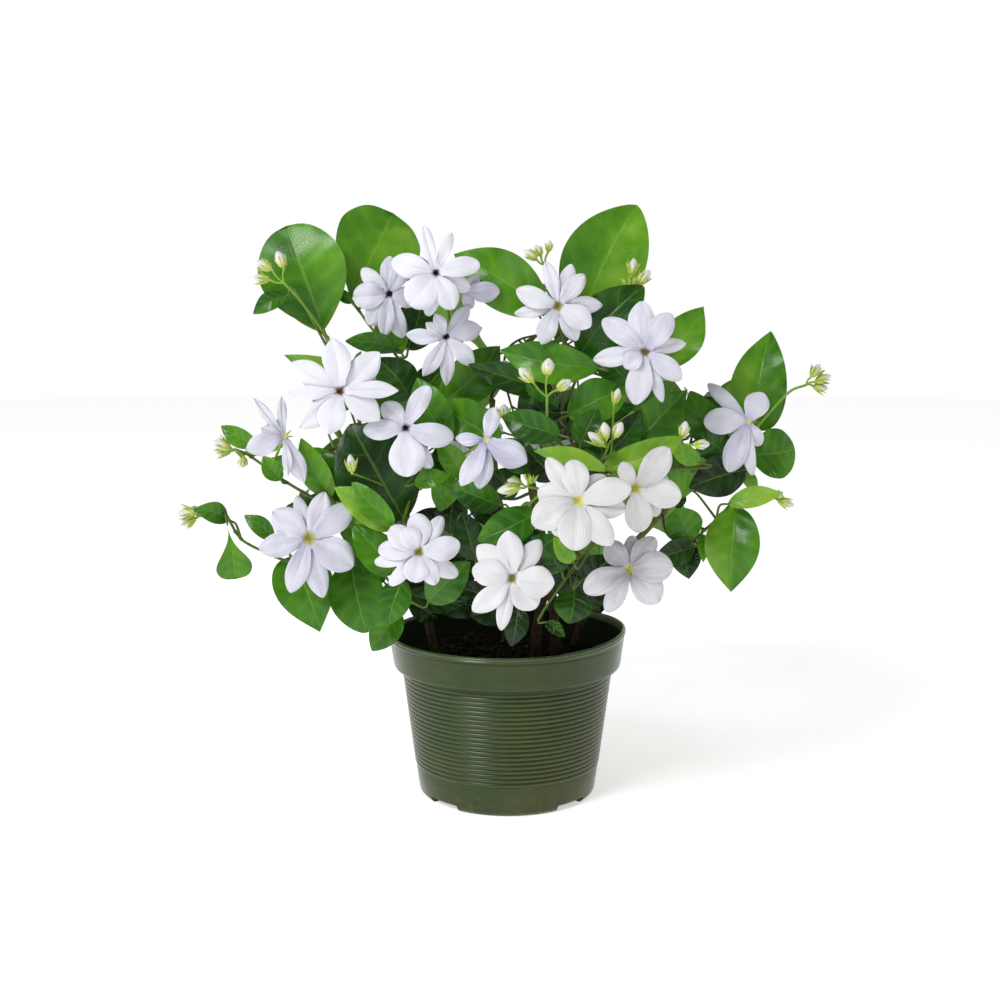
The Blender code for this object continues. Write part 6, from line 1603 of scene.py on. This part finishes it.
def petal_material():
    g = Graph("jasmine_petal", IOR=1.40, Specular_IOR_Level=0.25)
    uv, x, t = g.surface()
    where = g.place()
    shade, warm, eye, throat, seed = (g.tint(k) for k in ("shade", "warm", "eye", "throat", "seed"))
    lane = g.math("ADD", g.math("MULTIPLY", x, 11.0), g.math("MULTIPLY", g.noise(uv, 3.0, 2.0), 1.4))
    lane = g.math("ADD", lane, g.math("MULTIPLY", seed, 7.0))
    f = g.math("FRACT", lane)
    gap = g.math("SUBTRACT", 0.5, g.math("ABSOLUTE", g.math("SUBTRACT", f, 0.5)))
    line = g.range(gap, 0.0, 0.16, 1.0, 0.0)
    broad = g.noise(g.stretch(uv, 6.0, 1.3, 1.0), 1.0, 2.0)
    cloud = g.noise(where, 120.0, 3.0, 0.6)
    white = g.mix(warm, linear(220, 220, 228), linear(220, 219, 211))
    # painted grey-lilac shade, laid by the shade tint in patches along each petal
    grey = g.mix(warm, linear(164, 162, 188), linear(170, 169, 162))
    painted_shade_amount = g.math("MULTIPLY", shade, g.range(g.math("ADD", g.math("MULTIPLY", broad, 0.6), g.math("MULTIPLY", cloud, 0.4)), 0.30, 0.75, 0.25, 1.0))
    # more painted shade towards each petal's base, where the petals overlap
    deep = g.range(t, 0.0, 0.55, 1.0, 0.0)
    painted_shade_amount = g.math("ADD", painted_shade_amount, g.math("MULTIPLY", deep, g.range(shade, 0.0, 0.8, 0.10, 0.45)), clamp=True)
    base = g.mix(painted_shade_amount, white, grey)
    # fine lengthwise veins drawn in the painted shade's lilac grey, stronger where more shade is painted
    base = g.mix(g.math("MULTIPLY", line, g.range(shade, 0.0, 0.8, 0.10, 0.34)), base, linear(158, 160, 186))
    glow = g.ramp(throat, [(0.0, linear(58, 46, 60)), (0.30, linear(120, 98, 70)), (0.60, linear(150, 144, 78)), (0.85, linear(200, 196, 104)), (1.0, linear(216, 218, 190))])
    base = g.mix(g.range(eye, 0.10, 0.58, 0.0, 0.92), base, glow)
    g.colour(base)
    g.rough(g.range(cloud, 0.3, 0.7, 0.48, 0.62))
    height = g.math("ADD", g.math("MULTIPLY", broad, 0.7), g.math("MULTIPLY", line, -0.22))
    g.bump(g.math("ADD", height, g.math("MULTIPLY", g.noise(where, 1100.0, 2.0), 0.12)), 0.45, 0.0005)
    return g.mat


def throat_material():
    g = Graph("jasmine_throat", IOR=1.40, Specular_IOR_Level=0.2)
    where, throat = g.place(), g.tint("throat")
    n = g.noise(where, 900.0, 3.0, 0.6)
    deep = g.ramp(throat, [(0.0, linear(34, 26, 38)), (0.30, linear(84, 62, 40)), (0.60, linear(128, 122, 56)), (0.85, linear(186, 178, 78)), (1.0, linear(206, 208, 150))])
    g.colour(g.mix(g.math("MULTIPLY", n, 0.25), deep, linear(70, 66, 36)))
    g.rough(g.range(n, 0.3, 0.7, 0.6, 0.8))
    g.bump(n, 0.4, 0.0003)
    return g.mat


def bark_material():
    g = Graph("jasmine_bark", IOR=1.45, Specular_IOR_Level=0.3)
    where, age = g.place(), g.tint("age")
    long = g.noise(g.stretch(where, 1.0, 1.0, 0.16), 700.0, 4.0, 0.65)
    big = g.noise(where, 110.0, 3.0)
    a = g.math("ADD", age, g.math("MULTIPLY", g.math("SUBTRACT", big, 0.5), 0.4), clamp=True)
    young = g.ramp(long, [(0.25, linear(70, 84, 34)), (0.6, linear(106, 116, 56)), (0.85, linear(140, 138, 84))])
    old = g.ramp(long, [(0.25, linear(24, 17, 10)), (0.55, linear(60, 44, 28)), (0.85, linear(104, 84, 56))])
    g.colour(g.mix(g.range(a, 0.25, 0.75), young, old))
    g.rough(g.range(long, 0.2, 0.8, 0.65, 0.90))
    crack = g.cells(g.stretch(where, 1.0, 1.0, 0.22), 520.0)
    g.bump(g.math("ADD", long, g.math("MULTIPLY", g.range(crack, 0.0, 0.12), 0.5)), 0.7, 0.0007)
    return g.mat


def pot_material(name="nursery_pot_plastic", gleam=0.36):
    g = Graph(name, IOR=1.48, Specular_IOR_Level=gleam)
    where, inside_painted_shade = g.place(), g.tint("under")
    part = g.node("ShaderNodeSeparateXYZ")
    g.put(part.inputs[0], where)
    z = part.outputs[2]
    cloud = g.noise(where, 24.0, 4.0, 0.6)
    swirl = g.noise(g.stretch(where, 1.0, 1.0, 4.5), 60.0, 3.0, 0.6)
    grain = g.noise(where, 1600.0, 2.0)
    base = g.ramp(g.math("ADD", g.math("MULTIPLY", cloud, 0.6), g.math("MULTIPLY", swirl, 0.4)),
                  [(0.25, linear(32, 48, 12)), (0.5, linear(44, 60, 18)), (0.8, linear(56, 74, 26))])
    drift = g.range(g.noise(where, 14.0, 2.0), 0.42, 0.62, 0.0, 0.55)
    base = g.mix(drift, base, linear(60, 62, 20))
    # painted shade and dirt in the grooves between the hoops, and painted highlights on their crests
    low, high = 0.0190, POT_H - BAND_H - 0.0022
    turn = g.math("FRACT", g.math("MULTIPLY", g.math("SUBTRACT", z, low), 21.0 / (high - low)))
    wall = g.math("MULTIPLY", g.range(z, low, low + 0.0006), g.range(z, high - 0.0006, high, 1.0, 0.0))
    groove_shade_and_dirt = g.math("MULTIPLY", wall, g.math("ADD", g.range(turn, 0.0, 0.20, 1.0, 0.0), g.range(turn, 0.80, 1.0), clamp=True))
    crest = g.math("MULTIPLY", wall, g.math("MULTIPLY", g.range(turn, 0.30, 0.48), g.range(turn, 0.56, 0.74, 1.0, 0.0)))
    base = g.mix(g.math("MULTIPLY", groove_shade_and_dirt, 0.62), base, linear(8, 14, 4))
    base = g.mix(g.math("MULTIPLY", crest, g.range(swirl, 0.3, 0.7, 0.12, 0.28)), base, linear(88, 106, 66))
    # dust settled low on the wall
    dust = g.math("MULTIPLY", g.range(z, 0.0, 0.020, 0.16, 0.0), g.range(g.noise(where, 160.0, 4.0, 0.7), 0.42, 0.72))
    base = g.mix(dust, base, linear(128, 122, 98))
    # the rim's top paler: wear, and a painted highlight along the lip
    lip = g.math("MULTIPLY", g.range(z, POT_H - 0.0034, POT_H - 0.0016), g.range(cloud, 0.3, 0.7, 0.22, 0.38))
    base = g.mix(lip, base, linear(104, 126, 84))
    # painted shadow: a dark band under the lip's bead
    under = g.math("MULTIPLY", g.range(z, POT_H - 0.0052, POT_H - 0.0042), g.range(z, POT_H - 0.0036, POT_H - 0.0030, 1.0, 0.0))
    base = g.mix(g.math("MULTIPLY", under, 0.7), base, linear(14, 20, 8))
    # painted shadow: a dark band under the rim band's lower edge
    foot = g.math("MULTIPLY", g.range(z, high, high + 0.0010), g.range(z, high + 0.0018, high + 0.0030, 1.0, 0.0))
    base = g.mix(g.math("MULTIPLY", foot, 0.75), base, linear(12, 16, 8))
    # painted shade: the pot's inside darkened below the rim
    base = g.mix(g.math("MULTIPLY", inside_painted_shade, g.range(z, POT_H - 0.0012, POT_H - 0.0030, 0.0, 0.88)), base, linear(8, 12, 5))
    g.colour(base)
    rough = g.math("ADD", g.range(swirl, 0.3, 0.7, 0.17, 0.27), g.math("MULTIPLY", dust, 0.4), clamp=True)
    rough = g.math("ADD", rough, g.math("MULTIPLY", groove_shade_and_dirt, 0.35), clamp=True)
    g.rough(g.math("ADD", rough, g.math("MULTIPLY", inside_painted_shade, 0.30), clamp=True))
    g.bump(g.math("ADD", g.math("MULTIPLY", swirl, 0.5), g.math("MULTIPLY", grain, 0.16)), 0.22, 0.0005)
    return g.mat


def mix_material():
    g = Graph("potting_mix_soil", IOR=1.40, Specular_IOR_Level=0.2)
    where = g.place()
    n = g.noise(where, 240.0, 6.0, 0.7)
    clod = g.cells(where, 300.0, "F1")
    # colours darker than the mix's own, partly painted shade for the pot's shaded inside
    g.colour(g.ramp(g.math("ADD", g.math("MULTIPLY", n, 0.7), g.math("MULTIPLY", clod, 0.3)),
                    [(0.2, linear(7, 5, 4)), (0.5, linear(20, 14, 10)), (0.8, linear(46, 34, 24))]))
    g.rough(g.range(n, 0.3, 0.7, 0.80, 0.97))
    g.bump(g.math("ADD", n, g.math("MULTIPLY", clod, -0.6)), 0.9, 0.0012)
    return g.mat


def chip_material():
    g = Graph("potting_mix_chip", IOR=1.40, Specular_IOR_Level=0.2)
    where, age = g.place(), g.tint("age")
    n = g.noise(g.stretch(where, 0.3, 1.0, 1.0), 900.0, 4.0, 0.7)
    a = g.math("ADD", age, g.math("MULTIPLY", g.math("SUBTRACT", n, 0.5), 0.25), clamp=True)
    # colours darker than the chips' own, partly painted shade for the pot's shaded inside
    g.colour(g.ramp(a, [(0.0, linear(7, 5, 4)), (0.45, linear(20, 14, 9)), (0.80, linear(56, 43, 28)), (0.97, linear(150, 128, 96))]))
    g.rough(g.range(n, 0.3, 0.7, 0.75, 0.95))
    g.bump(n, 0.7, 0.0006)
    return g.mat


LEAF, STEM, CALYX = leaf_material(), stem_material(), calyx_material()
PETAL, THROAT, BARK = petal_material(), throat_material(), bark_material()
POT, MIX, CHIP = pot_material(), mix_material(), chip_material()
POT_INSIDE = pot_material("nursery_pot_inner_wall", 0.06)

stems, radii, branches, flowers, buds, leaves, log = grow()
fine_pot()
fine_mix()
for name in CANES:
    fine_cane(name, stems, radii)
for name in list(SHOOTS) + list(FAR_SHOOTS):
    fine_shoot(name, stems, radii, branches, leaves)
for name in list(FLOWERS) + list(FAR_FLOWERS):
    flower_piece(name, stems, radii, flowers)
for name in BUDS:
    buds_piece(name, stems, radii, buds)


# ---------------------------------------------------------------- floor, light, camera
def floor():
    mesh = bpy.data.meshes.new("studio_floor")
    turns, rings = 64, (0.4, 1.0, 2.0, 5.0)
    verts = [(0.0, 0.0, 0.0)] + [(r * math.cos(2 * math.pi * k / turns), r * math.sin(2 * math.pi * k / turns), 0.0) for r in rings for k in range(turns)]
    faces = [(0, 1 + k, 1 + (k + 1) % turns) for k in range(turns)]
    for i in range(len(rings) - 1):
        a, b = 1 + i * turns, 1 + (i + 1) * turns
        faces += [(a + k, b + k, b + (k + 1) % turns, a + (k + 1) % turns) for k in range(turns)]
    mesh.from_pydata(verts, [], faces)
    mesh.update()
    ob = bpy.data.objects.new("studio_floor", mesh)
    bpy.context.scene.collection.objects.link(ob)
    g = Graph("studio_paper", IOR=1.3, Specular_IOR_Level=0.0)
    n = g.noise(g.place(), 30.0, 3.0)
    g.colour(g.ramp(n, [(0.3, (0.93, 0.93, 0.93, 1.0)), (0.7, (0.95, 0.95, 0.95, 1.0))]))
    g.shader.inputs["Roughness"].default_value = 0.95
    g.shader.inputs["Emission Color"].default_value = (1.0, 1.0, 1.0, 1.0)
    g.shader.inputs["Emission Strength"].default_value = 0.50
    mesh.materials.append(g.mat)


def lamp(name, place, aim, size, power, colour=(1.0, 1.0, 1.0)):
    data = bpy.data.lights.new(name, "AREA")
    data.shape, data.size, data.energy, data.color = "DISK", size, power, colour
    ob = bpy.data.objects.new(name, data)
    ob.location = place
    ob.rotation_euler = (Vector(aim) - Vector(place)).to_track_quat("-Z", "Y").to_euler()
    bpy.context.scene.collection.objects.link(ob)


floor()
lamp("key", (-1.05, -1.30, 1.45), (0.0, 0.0, 0.22), 0.85, 27.0)
world = bpy.data.worlds.new("studio_air")
world.use_nodes = True
tree = world.node_tree
air = tree.nodes["Background"]
air.inputs["Color"].default_value = (1.0, 1.0, 1.0, 1.0)
# the studio's wall is white behind and beside the plant, dimmer overhead and in front
split = tree.nodes.new("ShaderNodeSeparateXYZ")
tree.links.new(tree.nodes.new("ShaderNodeTexCoord").outputs["Generated"], split.inputs[0])
both = tree.nodes.new("ShaderNodeMath")
both.operation = "MULTIPLY"
for slot, (axis, limits) in enumerate(((2, (0.30, 0.60, 1.0, 0.40)), (1, (-0.90, -0.35, 0.60, 1.0)))):
    fade = tree.nodes.new("ShaderNodeMapRange")
    fade.interpolation_type = "SMOOTHSTEP"
    tree.links.new(split.outputs[axis], fade.inputs[0])
    for i, x in enumerate(limits):
        fade.inputs[i + 1].default_value = x
    tree.links.new(fade.outputs[0], both.inputs[slot])
tree.links.new(both.outputs[0], air.inputs["Strength"])
scene = bpy.context.scene
scene.world = world
scene.view_settings.view_transform = "Standard"

view = bpy.data.cameras.new("camera")
view.sensor_fit, view.sensor_width, view.lens = "HORIZONTAL", 36.0, 36.0 * FOCAL / 1000.0
view.clip_start, view.clip_end = 0.02, 30.0
camera = bpy.data.objects.new("camera", view)
camera.location = EYE
camera.rotation_euler = (math.pi / 2 - PITCH, 0.0, 0.0)
scene.collection.objects.link(camera)
scene.camera = camera
